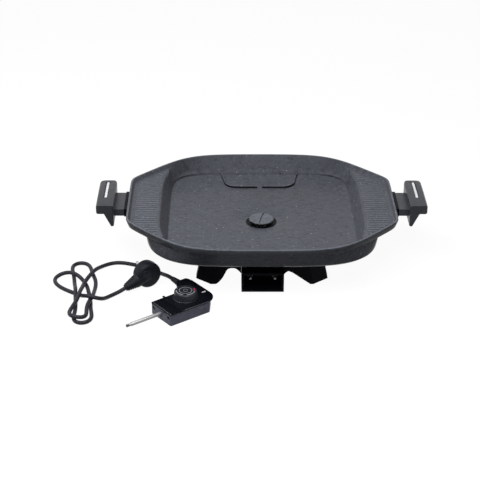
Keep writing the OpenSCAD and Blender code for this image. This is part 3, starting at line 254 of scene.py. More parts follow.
def pan_coating(name, k, upright=None):
    """Dark satin non-stick coating with pale and dark flecks in it and a cast surface under it. Copies with k
    other than 1 are lighter or darker to paint light and shade, and upright adds painted shade to upright
    faces.
    """
    color = shade((0.1, 0.106, 0.124), k)
    made = Shader(name, color, 0.36, specular=0.05)
    made.over(made.noise(40 * MM, detail=4.0), shade(color, 0.86), low=0.42, high=0.72, most=0.7)
    streaks = made.noise(8 * MM, detail=3.0, stretch=(0.6, 1.4, 1))
    made.over(streaks, shade(color, 0.66), low=0.52, high=0.64, most=0.7)
    made.over(made.noise(3.4 * MM, detail=2.0), shade(color, 1.35), low=0.55, high=0.68, most=0.7)
    made.over(made.flecks(7 * MM, radius=1.9 * MM, share=0.35), shade(color, 0.55), most=0.75)
    made.over(made.flecks(8 * MM, radius=1.1 * MM, share=0.35), (0.4, 0.4, 0.4), most=0.8)
    made.over(made.flecks(19 * MM, radius=1.3 * MM, share=0.45), (0.5, 0.49, 0.47), most=0.75)
    # Painted shade on upright faces
    if upright is not None:
        made.upright(shade(color, upright))
    made.vary_gloss(made.noise(9 * MM), spread=0.08)
    made.bump(made.noise(7 * MM, detail=2.0), depth=0.3 * MM, strength=0.35)
    made.bump(made.noise(1.3 * MM, detail=4.0), depth=0.1 * MM, strength=0.4)
    return made.material


def printed(name, color):
    """A printed mark, a little worn."""
    made = Shader(name, color, 0.5, specular=0.3)
    made.over(made.noise(1.5 * MM), shade(color, 0.6), low=0.5, high=0.75, most=0.7)
    made.bump(made.noise(0.4 * MM), depth=0.01 * MM, strength=0.3)
    return made.material


BLACK = (0.0026, 0.003, 0.005)
ALONG_Y = (1, 0.1, 1)
MATERIALS = {
    "pan_coating": pan_coating("pan_coating", 1.0),
    # Painted light and shade: the wing ribs a lighter copy of the coating, with painted shade on their
    # upright sides
    "pan_rib_light_and_shade": pan_coating("pan_rib_light_and_shade", 1.5, upright=0.5),
    # Painted highlight: a lighter copy of the coating along the crest of the rim
    "pan_crest_highlight": pan_coating("pan_crest_highlight", 1.5),
    # Painted light and shade on the low partition rib: a lighter top, and upright sides shaded almost to
    # black
    "partition_light_and_shade": pan_coating("partition_light_and_shade", 1.25, upright=0.12),
    # Painted shade: the sump and the drain hole darkened almost to black, for the shade under the drain cap
    "pan_sump_shade": pan_coating("pan_sump_shade", 0.08),
    # The drain cap: a lighter copy of the coating, with painted shade making its upright side almost black
    "cap_coating_shaded": pan_coating("cap_coating_shaded", 1.45, upright=0.06),
    "cast_aluminium": drawn_metal("cast_aluminium", (0.55, 0.55, 0.57), 0.5),
    "sheath_steel": drawn_metal("sheath_steel", (0.3, 0.28, 0.27), 0.45),
    "ceramic": moulded("ceramic", (0.72, 0.69, 0.61), 0.7),
    "contact_metal": drawn_metal("contact_metal", (0.75, 0.75, 0.77), 0.22),
    "dull_pin": drawn_metal("dull_pin", (0.2, 0.2, 0.21), 0.5, metallic=0.6),
    "screw_steel": drawn_metal("screw_steel", (0.5, 0.5, 0.52), 0.35),
    "base_plastic": moulded("base_plastic", BLACK, 0.4, specular=0.04),
    "handle_plastic": moulded("handle_plastic", (0.036, 0.038, 0.047), 0.34, specular=0.2),
    "trim_metal": drawn_metal("trim_metal", (0.88, 0.89, 0.91), 0.35, stretch=ALONG_Y, metallic=0.3),
    "control_grey": moulded("control_grey", (0.125, 0.126, 0.175), 0.45, specular=0.2),
    "control_black": moulded("control_black", shade(BLACK, 1.4), 0.16, specular=0.45),
    # Painted highlight: a lighter plastic for the cover's beads, standing in for light along their crests
    "painted_edge_highlight": moulded("painted_edge_highlight", (0.05, 0.052, 0.062), 0.3, specular=0.3),
    # Painted light: a lighter copy of the plug's rubber for the grip on its back, as if light fell on it
    "plug_pad_lit": moulded("plug_pad_lit", (0.014, 0.0165, 0.024), 0.4, specular=0.15),
    "probe_steel": probe_metal("probe_steel", (0.3, 0.3, 0.305)),
    # Painted shade: the contacts' brass made dark, for the shade in the holes they sit in
    "contact_brass": drawn_metal("contact_brass", (0.1, 0.085, 0.055), 0.4),
    "switch_plastic": moulded("switch_plastic", (0.16, 0.07, 0.03), 0.5),
    "wire_cover": moulded("wire_cover", (0.35, 0.02, 0.02), 0.4),
    "lens_plastic": moulded("lens_plastic", (0.7, 0.7, 0.69), 0.2),
    "knob_plastic": moulded("knob_plastic", (0.024, 0.027, 0.035), 0.38, specular=0.3),
    "dial_metal": moulded("dial_metal", (0.012, 0.0135, 0.018), 0.4, specular=0.15),
    "lead_rubber": moulded("lead_rubber", (0.021, 0.021, 0.029), 0.48, specular=0.2),
    "plug_rubber": moulded("plug_rubber", (0.009, 0.0105, 0.015), 0.42, specular=0.12),
    "mark_pale": printed("mark_pale", (0.36, 0.37, 0.4)),
    "mark_green": printed("mark_green", (0.22, 0.34, 0.31)),
    "mark_red": printed("mark_red", (0.3, 0.035, 0.08)),
}


# Meshes

def add_mesh(name, points, faces, slot, body, look=None):
    """A new piece from points in metres, with the look of its slot unless another is given."""
    mesh = bpy.data.meshes.new(name)
    mesh.from_pydata([tuple(p) for p in points], [], faces)
    tidy = bmesh.new()
    tidy.from_mesh(mesh)
    bmesh.ops.recalc_face_normals(tidy, faces=tidy.faces)
    tidy.to_mesh(mesh)
    tidy.free()
    mesh.shade_smooth()
    mesh.set_sharp_from_angle(angle=math.radians(SHARP_ANGLE))
    made = bpy.data.objects.new(name, mesh)
    bpy.context.scene.collection.objects.link(made)
    made.data.materials.append(MATERIALS[look or slot])
    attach(made, body)
    return made


class Shape:
    """Points and faces of one piece, gathered from lofts."""

    def __init__(self):
        self.points, self.faces = [], []

    def loft(self, rings, loop=False, ends=False):
        """Skins rings of equally many points. A loop joins the last ring to the first."""
        start, n = len(self.points), len(rings[0])
        for ring in rings:
            self.points += ring
        spans = len(rings) if loop else len(rings) - 1
        for j in range(spans):
            a, b = start + j * n, start + (j + 1) % len(rings) * n
            for i in range(n):
                k = (i + 1) % n
                self.faces.append((a + i, a + k, b + k, b + i))
        if ends:
            self.faces.append(tuple(range(start, start + n)))
            last = start + (len(rings) - 1) * n
            self.faces.append(tuple(range(last + n - 1, last - 1, -1)))

    def box(self, low, high):
        (x0, y0, z0), (x1, y1, z1) = low, high
        ring = [(x0, y0), (x1, y0), (x1, y1), (x0, y1)]
        self.loft([[Vector((x, y, z)) for x, y in ring] for z in (z0, z1)], ends=True)


def turns(steps):
    """Angles all the way round, in that many equal steps."""
    return [2 * math.pi * i / steps for i in range(steps)]


def raised(height, k):
    """A height in a rib's section: a share k of it above the surface, and all of it below."""
    return height if height < 0 else k * height


# The control's own axes: along it from the probe's end to the lead's, to its left, and up. In millimetres
CONTROL_TURN = math.radians(37)
CONTROL_AT = Vector((-157 * MM, GRILL_Y - 230 * MM, 0))
CONTROL_W = 52
CONTROL_LEN = 91
CONTROL_TOP = 18.5
SHELL_TOP = 17.3
GLAND_X = CONTROL_LEN - 12
GLAND_TIP = 81
GLAND_Z = 9.5

# The plug's own axes: across its round body, towards its lead, and up
PLUG_AT = Vector((-182.9 * MM, GRILL_Y - 121.5 * MM, 21 * MM))
PLUG_TURN = math.radians(122.7)
PLUG_ROLL = math.radians(18)
PLUG_NECK_X = -1
PLUG_EXIT = 43
PLUG_BACK = -10


def on_control(x, y, z):
    return CONTROL_AT + Matrix.Rotation(CONTROL_TURN, 3, "Z") @ (Vector((x, y, z)) * MM)


def on_plug(x, y, z):
    turn = Matrix.Rotation(PLUG_TURN, 3, "Z") @ Matrix.Rotation(-PLUG_ROLL, 3, "X")
    return PLUG_AT + turn @ (Vector((x, y, z)) * MM)


# The finger grip on the plug's back: a thin wedge with round corners, from where to where across it and up,
# and how thick it is at the edge with the higher and with the lower place across
PAD_ACROSS = (0, 13)
PAD_UP = (-4, 11.5)
PAD_ROUND = 2
PAD_CORNER_STEPS = 4
PAD_THIN = 0.5
PAD_THICK = 2.8
# Its rings, from the plug outwards: how far they draw in, their share of its thickness, and how far they sink
PAD_RINGS = ((0, 0, 0.3), (0, 1, 0.6), (0.04, 1, 0.15), (0.12, 1, 0))


def pad_outline():
    outline = []
    for right, top, begin in ((1, 1, 0), (0, 1, 90), (0, 0, 180), (1, 0, 270)):
        y = PAD_ACROSS[right] + (-PAD_ROUND if right else PAD_ROUND)
        z = PAD_UP[top] + (-PAD_ROUND if top else PAD_ROUND)
        for step in range(PAD_CORNER_STEPS + 1):
            t = math.radians(begin + 90 / PAD_CORNER_STEPS * step)
            outline.append((y + PAD_ROUND * math.cos(t), z + PAD_ROUND * math.sin(t)))
    return outline


def make_plug_pad():
    turn = Matrix.Rotation(PLUG_TURN, 3, "Z")
    mid_y, mid_z = sum(PAD_ACROSS) / 2, sum(PAD_UP) / 2
    rings = []
    for shrink, share, sink in PAD_RINGS:
        ring = []
        for y, z in pad_outline():
            y, z = y + (mid_y - y) * shrink, z + (mid_z - z) * shrink
            high = PAD_THIN + (PAD_THICK - PAD_THIN) * (PAD_ACROSS[1] - y) / (PAD_ACROSS[1] - PAD_ACROSS[0])
            ring.append(PLUG_AT + turn @ (Vector((PLUG_BACK - share * high + sink, y, z)) * MM))
        rings.append(ring)
    shape = Shape()
    shape.loft(rings, ends=True)
    # The grip's lighter look is painted light
    return add_mesh("plug_grip", shape.points, shape.faces, "plug_rubber", "control_set", look="plug_pad_lit")


# The lead, along the part's route

LEAD_D = 6.4 * MM
# The route's first and last points: this far outside the gland and the plug, in millimetres
LEAD_STUB = 0.5
LEAD_OUT = 9.3
LEAD_STEPS = 6
LEAD_BEVEL = 5
LEAD_ROUTE = [
    (-153.9, -60, 7.7), (-160, -51.6, 5.4), (-166.6, -43.6, 3.8), (-173.8, -36.4, 3.4), (-181.6, -30, 3.5),
    (-190, -24.5, 3.6), (-198.9, -20, 3.5), (-208.1, -16, 3.5), (-217.6, -12.3, 3.5), (-227.4, -9.5, 3.6),
    (-237.5, -9, 3.5), (-246.9, -11.9, 3.4), (-254.8, -17.9, 3.7), (-260.8, -26.1, 5.1), (-265.1, -35.2, 7.5),
    (-268.6, -44.7, 9.7), (-271.9, -54.3, 10.7), (-275.1, -64.1, 10.7), (-278, -73.8, 10.7),
    (-280.6, -83.5, 10.7), (-282.6, -93.1, 10.2), (-283.9, -103, 10.6), (-284.7, -112.9, 12.6),
    (-285.4, -123, 14.8), (-286.2, -133.1, 15.1), (-287.6, -142.9, 13.4), (-290, -152.5, 11.3),
    (-293.2, -162, 9.7), (-296.2, -172.3, 9.1), (-297.4, -183, 9.6), (-294.9, -192.5, 10.7),
    (-287.7, -197.7, 10.7), (-278.9, -197.3, 9.5), (-272.5, -191.7, 7.5), (-271, -182.2, 6.5),
    (-271.9, -171.7, 7.2), (-271.9, -161.4, 8.9), (-269.9, -151.7, 10.5), (-267.3, -142, 10.8),
    (-265.6, -132, 10), (-265.2, -122, 8.5), (-265.1, -112, 6.4), (-265, -102, 4.6), (-264.8, -92, 3.6),
    (-265, -82, 3.4), (-266.1, -72, 3.5), (-268.4, -62.1, 3.4), (-271.4, -52.4, 3.3), (-274.1, -42.6, 3.4),
    (-276.3, -32.4, 3.5), (-279.1, -22.2, 3.5), (-284.3, -13.6, 3.5), (-292.6, -9.5, 3.5),
    (-301.3, -11.7, 3.5), (-306.8, -19.2, 3.5), (-307.5, -29.3, 3.5), (-305.7, -39.9, 3.5),
    (-303.4, -50.1, 3.5), (-301.7, -60.1, 3.4), (-300.3, -70, 3.3), (-299, -79.9, 3.6), (-297.5, -89.7, 5.1),
    (-296, -99.5, 8.1), (-294.6, -109.4, 10.6), (-293.5, -119.5, 10.8), (-292.6, -129.6, 8.5),
    (-291.8, -139.4, 5.6), (-290.9, -149.3, 3.7), (-290.1, -159.2, 3.2), (-290, -169.5, 3.5),
    (-290.5, -180.2, 3.5), (-290.2, -190.9, 3.4), (-286.7, -199.8, 3.3), (-278.8, -204, 3.4),
    (-270, -202.3, 3.6), (-264.2, -195, 3.5), (-262.8, -184.8, 3.5), (-264.2, -174, 3.5), (-266, -163.7, 3.5),
    (-267.2, -153.8, 3.4), (-268, -143.8, 3.2), (-269.2, -133.9, 3.4), (-270.9, -124.2, 3.5),
    (-272.9, -114.4, 3.5), (-274.9, -104.3, 3.6), (-277.1, -94.2, 3.3), (-279.8, -84.6, 3.2),
    (-284, -75.9, 4.7), (-290.1, -68.4, 8.1), (-298, -61.5, 10.7), (-306.8, -55.4, 10.6), (-316.2, -51.5, 8),
    (-325, -52.6, 5.2), (-330.9, -59.1, 3.5), (-332.1, -68.8, 3.4), (-329.1, -78.9, 3.5), (-323.5, -88, 3.5),
    (-316.7, -95.7, 3.6), (-308.9, -102.2, 3.6), (-300.5, -108.1, 3.3), (-292.3, -114.2, 3.4),
    (-285.6, -121.6, 5.4), (-281, -130.5, 9.6), (-277, -139.5, 14.8), (-270.8, -146.4, 18.1),
    (-262.2, -148.8, 17.2), (-254.5, -145.9, 13.5), (-249.4, -138.6, 8.9), (-245.2, -129.4, 5.2),
    (-239.6, -120.4, 3.4), (-232.2, -112.9, 3.4),
]


def smooth_line(points, steps):
    """A cubic spline that the points draw, from the first of them to the last."""
    row = [2 * points[0] - points[1], *points, 2 * points[-1] - points[-2]]
    line = []
    for i in range(1, len(row) - 2):
        a, b, c, d = row[i - 1:i + 3]
        for k in range(steps):
            t = k / steps
            line.append(((1 - t) ** 3 * a + (3 * t ** 3 - 6 * t * t + 4) * b
                         + (-3 * t ** 3 + 3 * t * t + 3 * t + 1) * c + t ** 3 * d) / 6)
    return line + [points[-1]]


def make_lead():
    exit_at = on_control(GLAND_X, GLAND_TIP, GLAND_Z)
    route = [on_control(GLAND_X, GLAND_TIP + k, GLAND_Z) for k in (LEAD_STUB, LEAD_OUT)]
    route += [Vector(p) * MM for p in LEAD_ROUTE]
    route += [on_plug(PLUG_NECK_X, PLUG_EXIT + k, 0) for k in (LEAD_OUT, LEAD_STUB)]
    line = [exit_at, *smooth_line(route, LEAD_STEPS), on_plug(PLUG_NECK_X, PLUG_EXIT, 0)]
    curve = bpy.data.curves.new("lead", "CURVE")
    curve.dimensions = "3D"
    curve.bevel_depth = LEAD_D / 2
    curve.bevel_resolution = LEAD_BEVEL
    curve.use_fill_caps = True
    spline = curve.splines.new("POLY")
    spline.points.add(len(line) - 1)
    for point, place in zip(spline.points, line):
        point.co = (*place, 1)
    spline.use_smooth = True
    lead = bpy.data.objects.new("lead", curve)
    bpy.context.scene.collection.objects.link(lead)
    curve.materials.append(MATERIALS["lead_rubber"])
    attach(lead, "control_set")
    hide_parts("power_cord")
    on_it = [nodes[n] for n in ("plug_body", "plug_pins", "plug_earth_clips", "plug_strain_relief")]
    on_it.append(make_plug_pad())


make_lead()


# The pan, in millimetres, as in the part: its outlines

PAN_W = 437
PAN_D = 370
WING_REACH = 216
WING_TURN = math.radians(42.6)
BASIN_W = 332
BASIN_D = PAN_D - 16
FLOOR_W = 302
FLOOR_D = 332
UNDER_W = 373
UNDER_D = 339
SKIRT_W = UNDER_W + 6
SKIRT_D = UNDER_D + 22
# How square the outlines' corners are: the higher, the squarer
WING_FRONT_POWER = 11
WING_SIDE_POWER = 60
BASIN_POWER = 4.2
FLOOR_POWER = 7
UNDER_POWER = 4
# How far inside the wings' outline these lie: the lip's foot, the crest, the basin, the shelf's inner edge,
# the skirt and the wings' underside
LIP_SLOPE = 9
CREST_INSET = 3.4
BASIN_INSET = LIP_SLOPE + 0.8
SHELF_INSET = 10
SKIRT_INSET = 4.4
WING_UNDER_INSET = 5.2
# How far inside the basin's outline its wall begins
WALL_INSET = 2.5
# Over how much width a shelf turns into the plain slope at front and back
SHELF_BLEND = 9

# Its heights
RIM_Z = 95
BASIN_DEPTH = 32
FLOOR_Z = RIM_Z - BASIN_DEPTH
FLOOR_T = 5
RECESS_Z = FLOOR_Z - FLOOR_T
WING_DROP = 7
SHELF_Z = RIM_Z - WING_DROP
WING_T = 6
WING_Z = SHELF_Z - WING_T
WALL_H = SHELF_Z - 2.6 - FLOOR_Z

# The drain's hole, in a sump that lies in front of the middle
DRAIN_FRONT = 20
DRAIN_HOLE_R = 14.15
SUMP_R = 24.5
SUMP_DEPTH = 2
SUMP_FOOT_R = SUMP_R - 2

# Its section, from the drain hole out along the underside, over the rim, and back along the floor
PAN_STEPS = 480
# Along the underside: inset from its outline, and height over the recess
UNDER_RINGS = (
    (13, 0), (10.4, -1.7), (9.8, -2), (5.6, -2), (4.6, -1.6), (1.6, 1.2), (0.4, 2.4), (0, 3.4),
)
# Up the side: share of the way to the wings' underside
SIDE_SHARES = (0.25, 0.5, 0.75, 0.94)
# Up and over the rim: inset from the wings' outline, and height over the wings' underside
RIM_RINGS = (
    (4.4, 0.1), (3.8, 0.8), (3.1, 2.6), (2.2, 5), (0.2, 11), (0.25, 12.1), (0.6, 12.7), (1.2, 13), (2.7, 13),
)
# How many bands of faces the crest has, up to the first ring inside it
CREST_BANDS = 3
# Down to the shelf that the ribs stand on, likewise
LIP_RINGS = ((CREST_INSET, 12.7), (3.9, 11.9), (6.0, 7.2), (6.6, 6.4), (7.4, 6.05))
# Over the shelf's inner edge: how far outside the basin's outline, and height over the wings' underside
SHELF_RINGS = ((1.6, 6.0), (0.7, 5.85), (-0.3, 5.45), (-1.4, 4.7))
# Down the basin's wall: share of the way out from the floor's edge, and share of the wall's height
WALL_RINGS = ((0.96, 0.93), (0.75, 0.72), (0.5, 0.47), (0.3, 0.27))
# Round into the floor, likewise
FILLET_RINGS = ((0.2, 0.165), (0.12, 0.085), (0.06, 0.035), (0.02, 0.009), (-0.05, 0.0))
# Across the floor: share of its radius
FLOOR_SHARES = (0.75, 0.4)
# Down into the sump: radius, and height over the floor
SUMP_RINGS = (
    (SUMP_R + 0.8, 0), (SUMP_R, -0.3), (SUMP_FOOT_R + 0.3, 0.3 - SUMP_DEPTH),
    (SUMP_FOOT_R - 0.4, -SUMP_DEPTH), (DRAIN_HOLE_R, -SUMP_DEPTH),
)


def on_grill(x, y, z):
    return Vector((x * MM, y * MM + GRILL_Y, z * MM))


def blend(values, power):
    return sum(abs(v) ** power for v in values) ** (1 / power)


def oval_at(t, width, depth, power):
    return 1 / blend([math.cos(t) * 2 / width, math.sin(t) * 2 / depth], power)


def wing_at(t, inset):
    c, s = abs(math.cos(t)), abs(math.sin(t))
    slant = (c * math.cos(WING_TURN) + s * math.sin(WING_TURN)) / (WING_REACH - inset)
    front = blend([slant, s / (PAN_D / 2 - inset)], WING_FRONT_POWER)
    return 1 / blend([front, c / (PAN_W / 2 - inset)], WING_SIDE_POWER)


def basin_at(t):
    return min(oval_at(t, BASIN_W, BASIN_D, BASIN_POWER), wing_at(t, BASIN_INSET))


def shelf_at(t, out):
    return min(basin_at(t) + out, wing_at(t, SHELF_INSET))


def wall_at(t, k):
    """From the floor's edge, where k is 0, to the top of the basin's wall, where it is 1."""
    edge = oval_at(t, FLOOR_W, FLOOR_D, FLOOR_POWER)
    return edge + k * (basin_at(t) - WALL_INSET - edge)


def inner_at(t, z, radius):
    """The given radius beside a wing, and a straight slope from rim to floor where there is no wing."""
    crest, foot = wing_at(t, CREST_INSET), wall_at(t, 0)
    slope = crest + (foot - crest) * (RIM_Z - z) / BASIN_DEPTH
    shelf = (wing_at(t, SHELF_INSET) - basin_at(t)) / SHELF_BLEND
    k = min(1.0, max(0.0, shelf))
    k = k * k * (3 - 2 * k)
    return slope + k * (radius - slope)


def under_at(t, inset):
    return oval_at(t, UNDER_W - 2 * inset, UNDER_D - 2 * inset, UNDER_POWER)


def skirt_at(t):
    return min(oval_at(t, SKIRT_W, SKIRT_D, UNDER_POWER), wing_at(t, SKIRT_INSET))


def side_at(t, k):
    """From the underside's edge, where k is 0, to the top of the skirt, where it is 1."""
    return under_at(t, 0) + k * (skirt_at(t) - under_at(t, 0))


def pan_ring(radius_at, z, front=0):
    """A ring round the pan's middle, or round a place that far in front of it."""
    ring = []
    for t in turns(PAN_STEPS):
        r = radius_at(t)
        ring.append(on_grill(r * math.cos(t), r * math.sin(t) - front, z))
    return ring


def drain_ring(r, z):
    return pan_ring(lambda t: r, z, front=DRAIN_FRONT)


def pan_rings():
    rings = [drain_ring(DRAIN_HOLE_R, RECESS_Z)]
    for inset, z in UNDER_RINGS:
        rings.append(pan_ring(lambda t: under_at(t, inset), RECESS_Z + z))
    low = RECESS_Z + UNDER_RINGS[-1][1]
    for k in SIDE_SHARES:
        rings.append(pan_ring(lambda t: side_at(t, k), low + k * (WING_Z - low)))
    rings.append(pan_ring(lambda t: max(skirt_at(t), wing_at(t, WING_UNDER_INSET)), WING_Z))
    for inset, z in RIM_RINGS:
        rings.append(pan_ring(lambda t: wing_at(t, inset), WING_Z + z))
    for inset, z in LIP_RINGS:
        rings.append(pan_ring(lambda t: inner_at(t, WING_Z + z, wing_at(t, inset)), WING_Z + z))
    for out, z in SHELF_RINGS:
        rings.append(pan_ring(lambda t: inner_at(t, WING_Z + z, shelf_at(t, out)), WING_Z + z))
    for k, share in WALL_RINGS:
        z = FLOOR_Z + share * WALL_H
        rings.append(pan_ring(lambda t: inner_at(t, z, wall_at(t, k)), z))
    for k, share in FILLET_RINGS:
        rings.append(pan_ring(lambda t: wall_at(t, k), FLOOR_Z + share * WALL_H))
    for k in FLOOR_SHARES:
        rings.append(pan_ring(lambda t: k * wall_at(t, FILLET_RINGS[-1][0]), FLOOR_Z))
    for r, z in SUMP_RINGS:
        rings.append(drain_ring(r, FLOOR_Z + z))
    return rings


# The ribs on its wings. A section gives places across a rib and heights, as shares of its width and height
RIB_PITCH = 8
RIB_W = 4
RIB_H = 1
RIB_SINK = 0.3
RIB_SECTION = (
    (-0.5, -RIB_SINK), (-0.46, 0.35), (-0.34, 0.8), (-0.15, 1.0),
    (0.15, 1.0), (0.34, 0.8), (0.46, 0.35), (0.5, -RIB_SINK),
)
# How far from its end a rib has which share of its height
RIB_ENDS = ((0, 0.0), (1.2, 0.75), (2.6, 1.0))
# How far the ribs keep from the pan's front and back, the basin and the slanting lip, and the outer lip
RIB_FREE = 30
RIB_GAP = 2
RIB_OUTER_GAP = 4
RIB_LEAST = 6


def add_rib(shape, side, y, inner, outer):
    """A low rounded rib across a wing, with sloping ends."""
    stations = [(inner + d, k) for d, k in RIB_ENDS] + [(outer - d, k) for d, k in reversed(RIB_ENDS)]
    rings = []
    for x, k in stations:
        rings.append([
            on_grill(side * x, y + RIB_W * a, SHELF_Z + RIB_H * (k * (b + RIB_SINK) - RIB_SINK))
            for a, b in RIB_SECTION
        ])
    shape.loft(rings, ends=True)


def add_ribs(shape):
    top = int((PAN_D / 2 - RIB_FREE) / RIB_PITCH)
    for k in range(-top, top + 1):
        y = k * RIB_PITCH
        inside = max(0, abs(y) - RIB_W / 2) / (BASIN_D / 2)
        inner = BASIN_W / 2 * (1 - inside ** BASIN_POWER) ** (1 / BASIN_POWER) + RIB_GAP
        reach = (abs(y) + RIB_W / 2) * math.sin(WING_TURN)
        slant = (WING_REACH - LIP_SLOPE - RIB_GAP - reach) / math.cos(WING_TURN)
        outer = min(PAN_W / 2 - LIP_SLOPE - RIB_OUTER_GAP, slant)
        if outer - inner > RIB_LEAST:
            for side in (-1, 1):
                add_rib(shape, side, y, inner, outer)


# The low rib that walls off the back of its floor
PARTITION_W = 135
PARTITION_FLARE = 6
PARTITION_BEND = 23
PARTITION_BEND_STEPS = 12
PARTITION_Y = 113
PARTITION_T = 3
PARTITION_H = 4
PARTITION_GAP = 8
PARTITION_RISE = 1.5
PARTITION_END = 0.55
PARTITION_SECTION = (
    (-0.5, -0.3), (-0.5, 0.6), (-0.4, 0.88), (-0.2, 1.0), (0.2, 1.0), (0.4, 0.88), (0.5, 0.6), (0.5, -0.3),
)


def partition_line():
    """From the gap in the middle, round the bend, and back to the basin's wall."""
    half = PARTITION_W / 2
    front = half - PARTITION_FLARE
    mid = PARTITION_Y - PARTITION_T / 2
    line = [(PARTITION_GAP / 2, mid), (PARTITION_GAP / 2 + PARTITION_RISE, mid)]
    for step in range(PARTITION_BEND_STEPS + 1):
        w = math.radians(-90 + 90 / PARTITION_BEND_STEPS * step)
        r = PARTITION_BEND - PARTITION_T / 2
        line.append((front - PARTITION_BEND + r * math.cos(w), mid + r + r * math.sin(w)))
    line.append((half - PARTITION_T / 2, FLOOR_D / 2 + 1))
    return line


def add_partition(shape):
    """Both halves of the rib, with a gap between them."""
    line = partition_line()
    for side in (-1, 1):
        rings = []
        for i, (x, y) in enumerate(line):
            (ax, ay), (bx, by) = line[max(i - 1, 0)], line[min(i + 1, len(line) - 1)]
            run = math.hypot(bx - ax, by - ay)
            nx, ny = (by - ay) / run, (ax - bx) / run
            k = PARTITION_END if i == 0 else 1.0
            ring = []
            for a, b in PARTITION_SECTION:
                across, along = x + nx * PARTITION_T * a, y + ny * PARTITION_T * a
                ring.append(on_grill(side * across, along, FLOOR_Z + PARTITION_H * raised(b, k)))
            rings.append(ring)
        shape.loft(rings, ends=True)


# The lugs under its wings, which take the handles' screws, and the bosses that take the base's
LUG_LEN = 30
LUG_W = 64
LUG_DROP = 6
LUG_INSET = 2.5
LUG_SINK = 2
BOSS_X = 74
BOSS_Y = 84
BOSS_R = 7
BOSS_Z = 40
BOSS_EDGE = 0.6
BOSS_SINK = 1
BOSS_STEPS = 40
BOSS_RINGS = ((BOSS_R - BOSS_EDGE, BOSS_Z), (BOSS_R, BOSS_Z + BOSS_EDGE), (BOSS_R, RECESS_Z + BOSS_SINK))


def add_boss(shape, x, y):
    rings = []
    for r, z in BOSS_RINGS:
        rings.append([on_grill(x + r * math.cos(t), y + r * math.sin(t), z) for t in turns(BOSS_STEPS)])
    shape.loft(rings, ends=True)


def add_lugs(shape):
    for side in (-1, 1):
        xs = sorted((side * (PAN_W / 2 - LUG_LEN), side * (PAN_W / 2 - LUG_INSET)))
        low = on_grill(xs[0], -LUG_W / 2, WING_Z - LUG_DROP)
        high = on_grill(xs[1], LUG_W / 2, WING_Z + LUG_SINK)
        shape.box(low, high)
        for end in (-1, 1):
            add_boss(shape, side * BOSS_X, end * BOSS_Y)


def make_pan():
    """The whole casting, with the looks of its parts: each is a span of the faces. Besides the plain coating,
    these looks paint light and shade: lighter ribs, crest and partition top, darker upright rib and partition
    sides, and a dark sump.
    """
    shape = Shape()
    spans = {}
    add_ribs(shape)
    spans["pan_rib_light_and_shade"] = (0, len(shape.faces))
    # Before the rim's rings come those of the underside and the side, the drain hole's and the wings' own
    rim_end = 2 + len(UNDER_RINGS) + len(SIDE_SHARES) + len(RIM_RINGS)
    crest_end = len(shape.faces) + rim_end * PAN_STEPS
    spans["pan_crest_highlight"] = (crest_end - CREST_BANDS * PAN_STEPS, crest_end)
    shape.loft(pan_rings(), loop=True)
    spans["pan_sump_shade"] = (len(shape.faces) - len(SUMP_RINGS) * PAN_STEPS, len(shape.faces))
    wall = len(shape.faces)
    add_partition(shape)
    spans["partition_light_and_shade"] = (wall, len(shape.faces))
    add_lugs(shape)
    pan = add_mesh("pan_casting", shape.points, shape.faces, "pan_coating", "grill")
    for index, look in enumerate(("pan_rib_light_and_shade", "pan_crest_highlight", "partition_light_and_shade", "pan_sump_shade"), 1):
        pan.data.materials.append(MATERIALS[look])
        for i in range(*spans[look]):
            pan.data.polygons[i].material_index = index
    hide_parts("pan")


make_pan()


# Small things on the control, in millimetres

# The dial's printed marks: inner and outer radius, and from where to where round it, in degrees
DIAL_MARKS = {
    "mark_pale": [
        (9.4, 10.2, 0, 360), (13.6, 15.1, 178, 256), (13.6, 15.1, 280, 318),
        (3.4, 4.1, 20, 160), (3.4, 4.1, 200, 340), (14.0, 15.0, 150, 158),
    ],
    "mark_green": [(13.6, 15.1, 318, 348)],
    "mark_red": [(12.4, 15.2, 350, 388)],
}
MARK_SINK = 0.03
MARK_H = 0.06
MARK_STEP = 6

# The upright ribs that a thumb grips, on the shell's right side and its straight rear right corner
CORNER_FROM = (CONTROL_LEN - 18, -CONTROL_W / 2)
CORNER_TO = (CONTROL_LEN, 22 - CONTROL_W / 2)
GRIP_PITCH = 3
GRIP_SIDE_COUNT = 5
GRIP_SIDE_FROM = -17
GRIP_CORNER_COUNT = 6
GRIP_CORNER_FROM = 6
GRIP_SECTION = ((-0.75, -0.2), (-0.6, 0.22), (-0.25, 0.46), (0.25, 0.46), (0.6, 0.22), (0.75, -0.2))
# Height on the shell, and share of a rib's own height there
GRIP_ENDS = ((1.4, 0.0), (2.2, 1.0), (SHELL_TOP - 1.8, 1.0), (SHELL_TOP - 1.0, 0.0))

# The low ring that the dial stands in: radius, and height over the cover
COLLAR_RINGS = ((18.8, -0.1), (18.8, 0.5), (19.0, 0.7), (19.5, 0.7), (19.9, 0.4), (19.9, -0.1))
COLLAR_STEPS = 72

# The low beads on the cover, whose lighter look is a painted highlight
BEAD_X = 25
BEAD_FRONT_X = 2.4
BEAD_SIDE = CONTROL_W / 2 - 1.4
BEAD_GAP = 1.5
BEAD_END = 0.8
BEAD_SECTION = ((-0.8, -0.1), (-0.6, 0.25), (-0.2, 0.45), (0.2, 0.45), (0.6, 0.25), (0.8, -0.1))


def arc_strip(shape, centre, inner, outer, start, end):
    """A thin flat strip round a centre, from one angle to another, in degrees."""
    section = ((inner, -MARK_SINK), (outer, -MARK_SINK), (outer, MARK_H), (inner, MARK_H))
    steps = max(2, int(abs(end - start) / MARK_STEP))
    rings = []
    for i in range(steps + 1):
        t = math.radians(start + (end - start) * i / steps)
        ahead = Vector((math.cos(t), math.sin(t), 0))
        rings.append([centre + ahead * r * MM + Vector((0, 0, z * MM)) for r, z in section])
    shape.loft(rings, ends=True)


